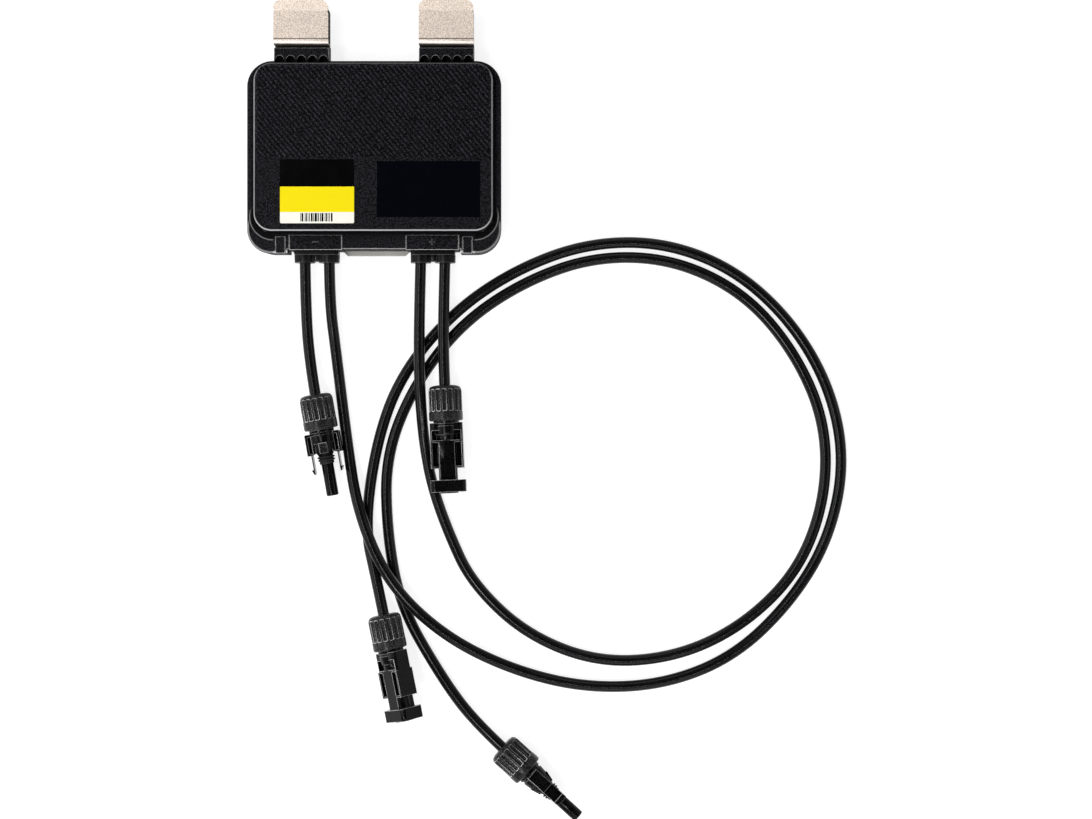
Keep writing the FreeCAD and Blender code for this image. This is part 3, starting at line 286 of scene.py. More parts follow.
    def rim_highlight_mask(self, reach: float, zone: tuple[float, float, float] | None, lean: Span) -> Socket:
        """Paint a highlight on upper edges, where the rounded skin leans away from level but isn't upright.

        Args:
            reach: how far a sharp edge counts as rounded, in metres, or 0 for rounded skin alone.
            zone: middle and half length on Y of a stretch that has no mark, and how much of the
                mark is left beyond its upper end, or None.
            lean: how much stronger the painted highlight is where the skin leans to -X and to -Y, towards the
                lamps.

        Returns:
            The socket of the painted highlight, from 0 on flats and walls to 1 on an edge.
        """
        skin = self.rounded(reach) if reach else self.facing
        upward = self.part_of(skin, 2)
        mask = self.maths("MULTIPLY", self.step(upward, *self.RIM_LOW), self.step(upward, *self.RIM_HIGH))
        if any(lean):
            side = self.maths("MULTIPLY_ADD", self.part_of(skin, 0), -lean[0], 1.0)
            side = self.maths("MULTIPLY_ADD", self.part_of(skin, 1), -lean[1], side)
            mask = self.maths("MULTIPLY", mask, self.maths("MAXIMUM", side, 0.0))
        if zone is not None:
            middle, half, left = zone
            along = self.part_of(self.place, 1)
            away = self.maths("ABSOLUTE", self.maths("SUBTRACT", along, middle))
            beside = self.step(away, half - self.ZONE_FADE[0], half + self.ZONE_FADE[1])
            beyond = self.step(along, middle, middle + self.ZONE_BEYOND)
            mask = self.maths("MULTIPLY", self.maths("MULTIPLY", mask, beside), self.dimmed(beyond, 1.0 - left))
        return mask

    def shade_line_mask(self, start: float, end: float) -> Socket:
        """Mark a narrow line across Y, where a line of painted shade goes.

        Args:
            start: lower edge of the line, in metres.
            end: upper edge of the line, in metres.

        Returns:
            The socket of the mark, 1 on the line.
        """
        along = self.part_of(self.place, 1)
        return self.maths("MULTIPLY", self.step(along, start - self.LINE_FADE, start),
                          self.step(along, end + self.LINE_FADE, end))

    def bend_shade_mask(self) -> Socket:
        """Mark skin that stands upright, and less so skin that leans, for painted shade on a bend."""
        return self.step(self.part_of(self.facing, 2), *self.BEND)

    def edge_glint_mask(self, reach: float) -> Socket:
        """Mark sharp edges of any lean for a painted highlight, more so where they lean to -X, towards the
        lamps.

        Args:
            reach: how far from an edge the mark starts, in metres.

        Returns:
            The socket of the mark.
        """
        skin = self.rounded(reach)
        likeness = self.add("ShaderNodeVectorMath", operation="DOT_PRODUCT")
        self.link(skin, likeness.inputs[0])
        self.link(self.add("ShaderNodeNewGeometry").outputs["Normal"], likeness.inputs[1])
        side = self.step(self.part_of(skin, 0), *self.GLINT_LEAN)
        weight = self.maths("MULTIPLY_ADD", side, self.GLINT_SHARE, 1.0 - self.GLINT_SHARE)
        return self.maths("MULTIPLY", self.step(likeness.outputs["Value"], *self.GLINT_SHARPNESS), weight)

    def channel(self, corner: tuple[float, float, float], width: float) -> tuple[Socket, Socket, Socket]:
        """Paint a channel around both lower corners of the lid: painted shade in it, and a painted highlight on
        its outer edge.

        Args:
            corner: middle of the lid's corner on X and Y, and its radius, in metres.
            width: width of the channel in metres.

        Returns:
            The sockets that are 1 in the channel, on its edge, and around it.
        """
        across = self.maths("SUBTRACT", self.maths("ABSOLUTE", self.part_of(self.place, 0)), corner[0])
        down = self.maths("SUBTRACT", corner[1], self.part_of(self.place, 1))
        far = self.maths("SQRT", self.maths("ADD", self.maths("MULTIPLY", across, across),
                                            self.maths("MULTIPLY", down, down)))
        inside = self.maths("MULTIPLY", self.step(across, *self.CHANNEL_ACROSS),
                            self.step(down, *self.CHANNEL_DOWN))
        end = corner[2] + width
        well = self.maths("MULTIPLY", inside, self.step(far, end, end - self.CHANNEL_WALL))
        rise, fall = [[end + offset for offset in span] for span in (self.LIP_RISE, self.LIP_FALL)]
        lip = self.maths("MULTIPLY", self.step(far, *rise), self.step(far, *fall))
        return well, self.maths("MULTIPLY", inside, lip), inside

    def shade_mask(self, reach: float, power: float) -> Socket:
        """Darken corners and gaps that little light gets into.

        Args:
            reach: how far the shade of a wall reaches, in metres.
            power: how steeply it darkens.

        Returns:
            The socket of the factor, 1 in the open and less in a gap.
        """
        shade = self.add("ShaderNodeAmbientOcclusion", samples=self.SHADE_SAMPLES)
        shade.inputs["Distance"].default_value = reach
        return self.maths("POWER", shade.outputs["AO"], power)

    def groove_shade_mask(self, level: float, start: float) -> Socket:
        """Darken the floors of scored lines with painted shade, and lighten the ribbed field with a painted
        highlight.

        Args:
            level: height in metres between floors and ribs.
            start: lower end of the ribbed field on Y, in metres.

        Returns:
            The socket of the factor.
        """
        level_skin = self.step(self.part_of(self.facing, 2), *self.LEVEL_SKIN)
        floor = self.step(self.part_of(self.place, 2), level + self.FLOOR_HALF, level - self.FLOOR_HALF)
        ribbed = self.step(self.part_of(self.place, 1), start - self.LINE_FADE, start + self.LINE_FADE)
        light = self.maths("MULTIPLY_ADD", ribbed, self.RIB_GAIN, 1.0)
        dark = self.dimmed(self.maths("MULTIPLY", floor, level_skin), self.FLOOR_LOSS)
        return self.maths("MULTIPLY", light, dark)

    def relief(self, heights: list[tuple[Socket, float, float]]) -> None:
        """Chain bump nodes onto the shader's normal.

        Args:
            heights: height socket, depth in metres and strength of each layer.
        """
        normal = None
        for height, depth, strength in heights:
            bump = self.add("ShaderNodeBump")
            bump.inputs["Distance"].default_value = depth
            bump.inputs["Strength"].default_value = strength
            self.link(height, bump.inputs["Height"])
            if normal is not None:
                self.link(normal, bump.inputs["Normal"])
            normal = bump.outputs[0]
        self.link(normal, self.shader.inputs["Normal"])


@dataclass(frozen=True)
class Finish:
    """One surface finish: colour, gloss, grain, and painted highlights and painted shade on edges, bends and
    gaps.
    """

    # Scale and octaves of the broad mottling, and octaves of the grain.
    BROAD: ClassVar[Span] = (60.0, 3.0)
    GRAIN_OCTAVES: ClassVar[float] = 2.0
    # Stretch of the grain along the rolling direction.
    ROLLED_STRETCH: ClassVar[Point] = (1.0, 0.04, 1.0)
    # Half of the stretch of noise over which specks go from dark to light.
    SPECKLE_HALF: ClassVar[float] = 0.08
    # Painted channel at the lid's corner: width in metres, loss of tone for its painted shade, loss of edge
    # highlights inside it, share of the painted highlight on its lip.
    CHANNEL_WIDTH: ClassVar[float] = 0.0024
    CHANNEL_LOSS: ClassVar[float] = 0.8
    CHANNEL_EDGES: ClassVar[float] = 0.7
    CHANNEL_LIP: ClassVar[float] = 0.22
    # Loss of tone in the narrow line of painted shade and in the painted shade on a bend.
    SHADE_LINE_LOSS: ClassVar[float] = 0.7
    BEND_SHADE_LOSS: ClassVar[float] = 0.85
    # Shares of the fine and the broad noise in the gloss.
    GLOSS_SHARES: ClassVar[Span] = (0.6, 0.4)
    # Strengths of the relief: fine grain, broad mottling at twice the depth, smooth skin.
    GRAIN_STRENGTH: ClassVar[float] = 0.5
    BROAD_STRENGTH: ClassVar[float] = 0.15
    SMOOTH_STRENGTH: ClassVar[float] = 0.2
    SMOOTH_SHARE: ClassVar[float] = 0.3

    name: str
    colour: Colour
    shift: float = 0.25
    speckle: float = 0.0
    polish: float = 0.0
    # Brightness of the grey lifted onto upper edges as a painted highlight.
    rim_highlight: float = 0.0
    rim_reach: float = 0.0003
    rim_zone: tuple[float, float, float] | None = None
    rim_lean: Span = (0.0, 0.0)
    # Lower and upper edge on Y of a narrow line of painted shade where a bend starts; it also brings painted
    # shade on upright skin.
    bend_shade_line: Span | None = None
    # Brightness of the grey lifted onto sharp edges as a painted highlight.
    edge_glint: float = 0.0
    shade: float = 0.0
    shade_power: float = 2.0
    # Height between floors and ribs, and lower end of the ribbed field: painted shade on the floors, painted
    # highlight over the ribs.
    scored: Span | None = None
    # Middle on X and Y and radius of the lid's corner, around which a channel of painted shade is laid.
    lid_corner: tuple[float, float, float] | None = None
    roughness: Span = (0.45, 0.6)
    metallic: float = 0.0
    specular: float = 0.3
    grain: Grain = Grain.FINE
    grain_scale: float = 1400.0
    grain_depth: float = 0.00006

    def material(self) -> bpy.types.Material:
        """Build the node material of this finish, once.

        Returns:
            The material.
        """
        ready = bpy.data.materials.get(self.name)
        if ready is not None:
            return ready
        nodes = Nodes(self.name)
        nodes.shader.inputs["Metallic"].default_value = self.metallic
        nodes.shader.inputs["Specular IOR Level"].default_value = self.specular
        stretch = self.ROLLED_STRETCH if self.grain is Grain.ROLLED else (1.0, 1.0, 1.0)
        broad = nodes.noise(*self.BROAD)
        fine = nodes.noise(self.grain_scale, self.GRAIN_OCTAVES, stretch)
        tint = self._ground(nodes, broad, fine)
        # The mark on upper edges is a painted highlight; polish also lowers its roughness.
        edge = None
        if self.polish or self.rim_highlight:
            edge = nodes.rim_highlight_mask(self.rim_reach, self.rim_zone, self.rim_lean)
        # Painted shade in a channel at the lid's corners, with a painted highlight on its lip.
        if self.lid_corner is not None:
            well, lip, around = nodes.channel(self.lid_corner, self.CHANNEL_WIDTH)
            tint = nodes.scaled(tint, nodes.dimmed(well, self.CHANNEL_LOSS))
            edge = nodes.maths("MULTIPLY", edge, nodes.dimmed(around, self.CHANNEL_EDGES))
            edge = nodes.maths("MAXIMUM", edge, nodes.maths("MULTIPLY", lip, self.CHANNEL_LIP))
        # Lift a grey onto upper edges: a painted highlight.
        if self.rim_highlight:
            tint = nodes.lifted(tint, edge, self.rim_highlight)
        nodes.link(self._painted_light(nodes, tint), nodes.shader.inputs["Base Color"])
        nodes.link(self._gloss(nodes, broad, fine, edge), nodes.shader.inputs["Roughness"])
        if self.grain is Grain.SMOOTH:
            skin = nodes.noise(self.grain_scale * self.SMOOTH_SHARE, self.GRAIN_OCTAVES)
            nodes.relief([(skin, self.grain_depth, self.SMOOTH_STRENGTH)])
        else:
            nodes.relief([(fine, self.grain_depth, self.GRAIN_STRENGTH),
                          (broad, self.grain_depth * 2, self.BROAD_STRENGTH)])
        return nodes.material

    def _ground(self, nodes: Nodes, broad: Socket, fine: Socket) -> Socket:
        """Mottle and speckle the colour, and paint shade on the floors of scored lines and a highlight over the
        ribbed field.

        Args:
            nodes: material under way.
            broad: socket of the broad noise.
            fine: socket of the fine noise.

        Returns:
            The socket of the colour.
        """
        low = tuple(value * (1 - self.shift) for value in self.colour)
        high = tuple(min(1.0, value * (1 + self.shift)) for value in self.colour)
        tint = nodes.blend(broad, low, high)
        if self.speckle:
            tint = nodes.scaled(tint, nodes.spread(fine, 1 - self.speckle, 1 + self.speckle, self.SPECKLE_HALF))
        if self.scored is not None:
            tint = nodes.scaled(tint, nodes.groove_shade_mask(*self.scored))
        return tint

    def _painted_light(self, nodes: Nodes, tint: Socket) -> Socket:
        """Lay painted shade on a line and a bend, painted highlights on sharp edges, and painted shade in gaps
        over the colour.

        Args:
            nodes: material under way.
            tint: socket of the colour.

        Returns:
            The socket of the colour with its painted light and shade.
        """
        # Painted shade: a narrow line where the bend starts, and darker skin where it turns upright.
        if self.bend_shade_line is not None:
            line = nodes.dimmed(nodes.shade_line_mask(*self.bend_shade_line), self.SHADE_LINE_LOSS)
            bend = nodes.dimmed(nodes.bend_shade_mask(), self.BEND_SHADE_LOSS)
            tint = nodes.scaled(tint, nodes.maths("MULTIPLY", line, bend))
        # Painted highlight on sharp edges, brighter on the side towards the lamps.
        if self.edge_glint:
            tint = nodes.lifted(tint, nodes.edge_glint_mask(self.rim_reach), self.edge_glint)
        if self.shade:
            tint = nodes.scaled(tint, nodes.shade_mask(self.shade, self.shade_power))
        return tint

    def _gloss(self, nodes: Nodes, broad: Socket, fine: Socket, edge: Socket | None) -> Socket:
        """Vary the roughness with the grain, and polish the edges.

        Args:
            nodes: material under way.
            broad: socket of the broad noise.
            fine: socket of the fine noise.
            edge: socket of the mark on upper edges, where the finish has one.

        Returns:
            The socket of the roughness.
        """
        mixed = [nodes.maths("MULTIPLY", noise, share)
                 for noise, share in zip((fine, broad), self.GLOSS_SHARES)]
        gloss = nodes.spread(nodes.maths("ADD", *mixed), *self.roughness)
        if self.polish:
            gloss = nodes.maths("SUBTRACT", gloss, nodes.maths("MULTIPLY", edge, self.polish))
        return gloss


# The housing carries a painted highlight on upper edges, painted shade in gaps, and a channel of painted shade
# with a highlit lip at the lid's lower corners.
HOUSING = Finish("housing_plastic", (0.009, 0.009, 0.011), shift=0.12, speckle=0.98, polish=0.1,
                 rim_highlight=0.8, rim_reach=0.001, rim_zone=(-0.0045, 0.0455, 0.4), shade=0.003,
                 lid_corner=(0.0554, -0.0465, 0.01), roughness=(0.45, 0.6), specular=0.05,
                 grain_scale=1300.0, grain_depth=0.00014)
# The cover's painted edge highlight is much stronger on edges that lean to -Y, towards the foot lamps.
COVER = replace(HOUSING, name="cover_plastic", rim_highlight=0.27, rim_reach=0.0, rim_zone=None, rim_lean=(0.1, 1.1),
                lid_corner=None, scored=(0.02272, -0.0144))
# The connector, nut and gland finishes carry a painted highlight on sharp edges, brighter on the side towards
# the lamps, and painted shade in gaps.
CONNECTOR = Finish("connector_plastic", (0.0033, 0.0032, 0.0035), speckle=0.8, edge_glint=0.6, rim_reach=0.0006,
                   shade=0.002, shade_power=3.0, roughness=(0.1, 0.16), specular=0.11, grain_scale=1500.0,
                   grain_depth=0.00003)
NUT = replace(CONNECTOR, name="nut_plastic", colour=(0.018, 0.0168, 0.0172), edge_glint=1.5, specular=0.17,
              roughness=(0.2, 0.3))
GLAND = replace(CONNECTOR, name="gland_plastic", colour=(0.004, 0.004, 0.0046), edge_glint=0.2, specular=0.12,
                roughness=(0.25, 0.36))
JACKET = Finish("cable_jacket", (0.004, 0.004, 0.0046), speckle=0.6, roughness=(0.15, 0.18), specular=0.19,
                grain=Grain.SMOOTH, grain_scale=1300.0, grain_depth=0.00001)
RUBBER = Finish("seal_rubber", (0.01, 0.01, 0.011), roughness=(0.55, 0.7), specular=0.3,
                grain_scale=1600.0, grain_depth=0.00005)
# The clip carries a painted highlight on its rounded bend, a narrow line of painted shade where the bend
# starts, and painted shade where its skin stands upright.
SPRING_STEEL = Finish("spring_steel", (0.77, 0.665, 0.58), shift=0.05, speckle=0.26, rim_highlight=0.55,
                      rim_reach=0.0, bend_shade_line=(0.0502, 0.0507), roughness=(0.5, 0.62), metallic=0.5,
                      grain_scale=2300.0, grain_depth=0.00002)
BACK_SHEET = Finish("back_sheet", (0.5, 0.49, 0.47), shift=0.08, roughness=(0.35, 0.5), metallic=1.0,
                    grain=Grain.ROLLED, grain_scale=2200.0, grain_depth=0.00002)
BOARD = Finish("solder_mask", (0.015, 0.13, 0.045), roughness=(0.3, 0.45), specular=0.5, grain_scale=900.0)
ZINC = Finish("zinc_plate", (0.6, 0.6, 0.58), shift=0.1, roughness=(0.25, 0.4), metallic=1.0,
              grain_scale=1500.0, grain_depth=0.00002)
FERRITE = Finish("ferrite", (0.04, 0.04, 0.043), roughness=(0.55, 0.75), grain_scale=1800.0)
COPPER = Finish("copper", (0.7, 0.33, 0.16), shift=0.1, roughness=(0.25, 0.4), metallic=1.0,
                grain=Grain.ROLLED, grain_scale=1500.0, grain_depth=0.00003)
CAN = Finish("drawn_can", (0.66, 0.66, 0.68), shift=0.06, roughness=(0.28, 0.42), metallic=1.0,
             grain_scale=1300.0, grain_depth=0.00002)
EPOXY = Finish("moulded_epoxy", (0.018, 0.018, 0.019), roughness=(0.45, 0.6), grain_scale=2000.0)
BRASS = Finish("terminal_brass", (0.7, 0.5, 0.2), shift=0.08, roughness=(0.25, 0.4), metallic=1.0,
               grain_scale=1200.0, grain_depth=0.00002)
TINNED = Finish("tinned_contact", (0.72, 0.7, 0.66), shift=0.06, roughness=(0.2, 0.35), metallic=1.0,
                grain_scale=1200.0, grain_depth=0.00002)


@dataclass(frozen=True)
class PrintedFilm:
    """A printed label: stacked fields from the top edge down, and a bar pattern."""

    INK: ClassVar[Colour] = (0.01, 0.01, 0.012)
    # Waves that make the bars uneven, in radians per metre, and the height that leaves a bar.
    BAR_WAVE: ClassVar[float] = 5200.0
    BAR_SWAY: ClassVar[float] = 2900.0
    BAR_SWELL: ClassVar[float] = 1730.0
    BAR_CUT: ClassVar[float] = -0.35
    # Specks of the print: scale, share, their darkest tone, and their relief.
    SPECK_SCALE: ClassVar[float] = 2500.0
    SPECK_SHARE: ClassVar[float] = 0.12
    SPECK_TONE: ClassVar[Colour] = (0.8, 0.8, 0.8)
    SPECK_DEPTH: ClassVar[float] = 0.00001
    SPECK_STRENGTH: ClassVar[float] = 0.25
    # Gloss of the film: scale and octaves of its changes, roughness and specular level.
    GLOSS_CHANGES: ClassVar[Span] = (120.0, 3.0)
    ROUGHNESS: ClassVar[Span] = (0.1, 0.16)
    SPECULAR: ClassVar[float] = 0.15

    name: str
    fields: tuple[tuple[float, Colour], ...]
    bars: tuple[float, float, float, float] | None = None

    def material(self) -> bpy.types.Material:
        """Build the printed film.

        Returns:
            The material.
        """
        nodes = Nodes(self.name)
        across, along = nodes.part_of(nodes.place, 0), nodes.part_of(nodes.place, 1)
        ground = nodes.add("ShaderNodeRGB").outputs[0]
        ground.default_value = (*self.fields[0][1], 1)
        for (level, _), (_, below) in zip(self.fields, self.fields[1:]):
            ground = self._over(nodes, ground, nodes.maths("LESS_THAN", along, level), below)
        if self.bars is not None:
            ground = self._over(nodes, ground, self._bar_mask(nodes, across, along), self.INK)
        speck = nodes.noise(self.SPECK_SCALE)
        tint = nodes.add("ShaderNodeMix", data_type="RGBA", blend_type="MULTIPLY")
        tint.inputs["Factor"].default_value = self.SPECK_SHARE
        nodes.link(ground, tint.inputs["A"])
        nodes.link(nodes.blend(speck, self.SPECK_TONE, (1, 1, 1)), tint.inputs["B"])
        nodes.link(tint.outputs["Result"], nodes.shader.inputs["Base Color"])
        gloss = nodes.spread(nodes.noise(*self.GLOSS_CHANGES), *self.ROUGHNESS)
        nodes.link(gloss, nodes.shader.inputs["Roughness"])
        nodes.shader.inputs["Specular IOR Level"].default_value = self.SPECULAR
        nodes.relief([(speck, self.SPECK_DEPTH, self.SPECK_STRENGTH)])
        return nodes.material

    def _over(self, nodes: Nodes, under: Socket, mask: Socket, colour: Colour) -> Socket:
        """Lay a colour over another where a mask is 1.

        Args:
            nodes: material under way.
            under: socket of the colour below.
            mask: socket of the mask.
            colour: colour to lay on.

        Returns:
            The socket of the result.
        """
        mix = nodes.add("ShaderNodeMix", data_type="RGBA")
        nodes.link(mask, mix.inputs["Factor"])
        nodes.link(under, mix.inputs["A"])
        mix.inputs["B"].default_value = (*colour, 1)
        return mix.outputs["Result"]

    def _bar_mask(self, nodes: Nodes, across: Socket, along: Socket) -> Socket:
        """Mark uneven upright bars inside the bar field.

        Args:
            nodes: material under way.
            across: socket of the place on X.
            along: socket of the place on Y.

        Returns:
            The socket of the mask.
        """
        left, right, low, high = self.bars
        sway = nodes.maths("SINE", nodes.maths("MULTIPLY", across, self.BAR_SWAY))
        swell = nodes.maths("SINE", nodes.maths("MULTIPLY", across, self.BAR_SWELL))
        warped = nodes.maths("MULTIPLY_ADD", across, self.BAR_WAVE, nodes.maths("ADD", sway, swell))
        mask = nodes.maths("GREATER_THAN", nodes.maths("SINE", warped), self.BAR_CUT)
        for first, second, operation in ((across, left, "GREATER_THAN"), (across, right, "LESS_THAN"),
                                         (along, low, "GREATER_THAN"), (along, high, "LESS_THAN")):
            mask = nodes.maths("MULTIPLY", mask, nodes.maths(operation, first, second))
        return mask


# Points nearer than this are one corner, and a softened edge turns by more than this angle.
WELD_REACH = 0.000002
SHARP_ANGLE = math.radians(38)


def dress(node: str, finish: Finish | PrintedFilm, edge: float = 0.0) -> None:
    """Give a CAD node its finish, and soften its sharp edges.

    Args:
        node: name of the node.
        finish: finish to lay on it.
        edge: width of the softened edge in metres, or 0.
    """
    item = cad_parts[node]
    item.data.materials.clear()
    item.data.materials.append(finish.material())
    if edge:
        weld = item.modifiers.new("weld", "WELD")
        weld.merge_threshold = WELD_REACH
        soft = item.modifiers.new("soft_edges", "BEVEL")
        soft.width = edge
        soft.segments = 2
        soft.limit_method = "ANGLE"
        soft.angle_limit = SHARP_ANGLE
        soft.harden_normals = True
        soft.use_clamp_overlap = True
    LOG.info("dressed %s", node)


def new_piece(name: str, verts: list[Point], faces: list[list[int]], finish: Finish, body: str) -> None:
    """Make one mesh piece that rides on a body.

    Args:
        name: name of the piece.
        verts: corner points in metres.
        faces: corner numbers of each face.
        finish: finish of the piece.
        body: CAD body it rides on.
    """
    mesh = bpy.data.meshes.new(name)
    mesh.from_pydata(verts, [], faces)
    mesh.update()
    mesh.materials.append(finish.material())
    item = bpy.data.objects.new(name, mesh)
    bpy.context.scene.collection.objects.link(item)
    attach(item, body)
    LOG.info("built %s with %d faces", name, len(faces))


@dataclass(frozen=True)
class SoftBox:
    """One rectangular studio lamp, aimed at a point: width across, then height in its tilt."""

    name: str
    place: Point
    size: Span
    glow: float
    target: Point = (0.06, -0.13, 0.0)

    def build(self) -> None:
        """Hang the lamp, with its power from its glow and area."""
        data = bpy.data.lights.new(self.name, "AREA")
        data.shape = "RECTANGLE"
        data.size, data.size_y = self.size
        data.energy = self.glow * math.pi * self.size[0] * self.size[1]
        lamp = bpy.data.objects.new(self.name, data)
        lamp.location = self.place
        direction = Vector(self.target) - Vector(self.place)
        lamp.rotation_euler = direction.to_track_quat("-Z", "Y").to_euler()
        lamp.visible_camera = False
        bpy.context.scene.collection.objects.link(lamp)


@dataclass
class Studio:
    """Camera, floor, lamps and surroundings."""

    camera_place: Point = (0.0943, -0.1522, 1.0)
    focal_length: float = 59.11
    sensor_width: float = 36.0
    clip_end: float = 200.0
    floor_half: float = 40.0
    floor_glow: float = 0.8
    floor_white: float = 0.93
    floor_shown_loss: float = 0.5
    floor_roughness: float = 0.9
    zenith_glow: float = 0.04
    horizon_glow: float = 0.45
    sky_heights: Span = (0.35, 0.97)
    lamps: tuple[SoftBox, ...] = (
        SoftBox("left_low_box", (-1.15, -0.10, 0.64), (1.2, 0.8), 1.7),
        SoftBox("foot_low_box", (0.10, -1.35, 0.70), (1.2, 0.8), 1.5),
        SoftBox("right_low_box", (1.35, -0.20, 0.72), (1.2, 0.7), 0.8),
        SoftBox("head_low_box", (0.05, 1.15, 0.72), (1.2, 0.7), 0.9),
        SoftBox("left_high_box", (-0.56, -0.10, 1.25), (0.9, 0.44), 1.85),
        SoftBox("left_strip", (-0.50, -0.15, 1.30), (1.3, 0.03), 30.0),
        SoftBox("foot_strip", (0.10, -0.80, 1.30), (1.5, 0.03), 29.0),
        SoftBox("corner_box", (-0.27, -0.61, 1.30), (0.14, 0.28), 20.0, (0.06, -0.26, 0.0)),
    )

    def build(self) -> None:
        """Set the whole studio up."""
        self._camera()
        self._floor()
        self._world()
        for lamp in self.lamps:
            lamp.build()
        bpy.context.scene.view_settings.view_transform = "Standard"

    def _camera(self) -> None:
        """Look straight down on the part, as the photograph does."""
        data = bpy.data.cameras.new("camera")
        data.lens = self.focal_length
        data.sensor_width = self.sensor_width
        data.clip_end = self.clip_end
        camera = bpy.data.objects.new("camera", data)
        camera.location = self.camera_place
        bpy.context.scene.collection.objects.link(camera)
        bpy.context.scene.camera = camera

    def _floor(self) -> None:
        """Lay a plain white floor under the part, which keeps a soft shadow."""
        half = self.floor_half
        mesh = bpy.data.meshes.new("floor")
        mesh.from_pydata([(-half, -half, 0), (half, -half, 0), (half, half, 0), (-half, half, 0)], [],
                         [(0, 1, 2, 3)])
        floor = bpy.data.objects.new("floor", mesh)
        bpy.context.scene.collection.objects.link(floor)
        nodes = Nodes("floor_white")
        path = nodes.add("ShaderNodeLightPath")
        seen = nodes.maths("MAXIMUM", path.outputs["Is Camera Ray"], path.outputs["Is Glossy Ray"])
        seen = nodes.maths("MAXIMUM", seen, path.outputs["Is Transmission Ray"])
        shade = nodes.maths("SUBTRACT", self.floor_white, nodes.maths("MULTIPLY", seen, self.floor_shown_loss))
        grey = nodes.add("ShaderNodeCombineColor")
        for slot in grey.inputs:
            nodes.link(shade, slot)
        nodes.link(grey.outputs[0], nodes.shader.inputs["Base Color"])
        nodes.shader.inputs["Roughness"].default_value = self.floor_roughness
        nodes.shader.inputs["Specular IOR Level"].default_value = 0.0
        nodes.shader.inputs["Emission Color"].default_value = (1.0, 1.0, 1.0, 1)
        nodes.link(nodes.maths("MULTIPLY", seen, self.floor_glow), nodes.shader.inputs["Emission Strength"])
        mesh.materials.append(nodes.material)

    def _world(self) -> None:
        """Surround the part with soft light, dimmer overhead than at the sides."""
        world = bpy.data.worlds.new("studio")
        world.use_nodes = True
        tree = world.node_tree
        direction = tree.nodes.new("ShaderNodeTexCoord")
        split = tree.nodes.new("ShaderNodeSeparateXYZ")
        tree.links.new(direction.outputs["Generated"], split.inputs[0])
        fade = tree.nodes.new("ShaderNodeMapRange")
        fade.interpolation_type = "SMOOTHSTEP"
        reach = (*self.sky_heights, self.horizon_glow, self.zenith_glow)
        for slot, value in zip(("From Min", "From Max", "To Min", "To Max"), reach):
            fade.inputs[slot].default_value = value
        tree.links.new(split.outputs[2], fade.inputs["Value"])
        background = tree.nodes["Background"]
        background.inputs["Color"].default_value = (1.0, 1.0, 1.0, 1)
        tree.links.new(fade.outputs[0], background.inputs["Strength"])
        bpy.context.scene.world = world


@dataclass
class Cable:
    """One solar cable on its route, with the connector on its far end."""

    # Place on Y where the cables leave their glands, and smoothness of the tube.
    EXIT_ROW: ClassVar[float] = -0.0714
    ROUND_STEPS: ClassVar[int] = 6
    LENGTH_STEPS: ClassVar[int] = 10
    ORDER: ClassVar[int] = 3

    name: str
    node: str
    route: tuple[Point, ...]
    length: float
    connector: str
    parts: tuple[str, ...]
    radius: float = 0.0031
    body: str = ROOT

    def build(self) -> None:
        data = bpy.data.curves.new(self.name, "CURVE")
        data.dimensions = "3D"
        data.bevel_depth = self.radius
        data.bevel_resolution = self.ROUND_STEPS
        data.resolution_u = self.LENGTH_STEPS
        data.use_fill_caps = True
        spline = data.splines.new("NURBS")
        spline.points.add(len(self.route) - 1)
        for point, place in zip(spline.points, self.route):
            point.co = (*place, 1.0)
        spline.order_u = self.ORDER
        spline.use_endpoint_u = True
        data.materials.append(JACKET.material())
        cable = bpy.data.objects.new(self.name, data)
        bpy.context.scene.collection.objects.link(cable)
        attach(cable, self.body)
        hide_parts(self.node)
        LOG.info("laid %s", self.name)


PLUG_PARTS = ("body", "contact", "seal_ring", "cable_seal", "clamp_ring", "cap_nut")
SOCKET_PARTS = ("body", "contact", "cable_seal", "clamp_ring", "cap_nut")

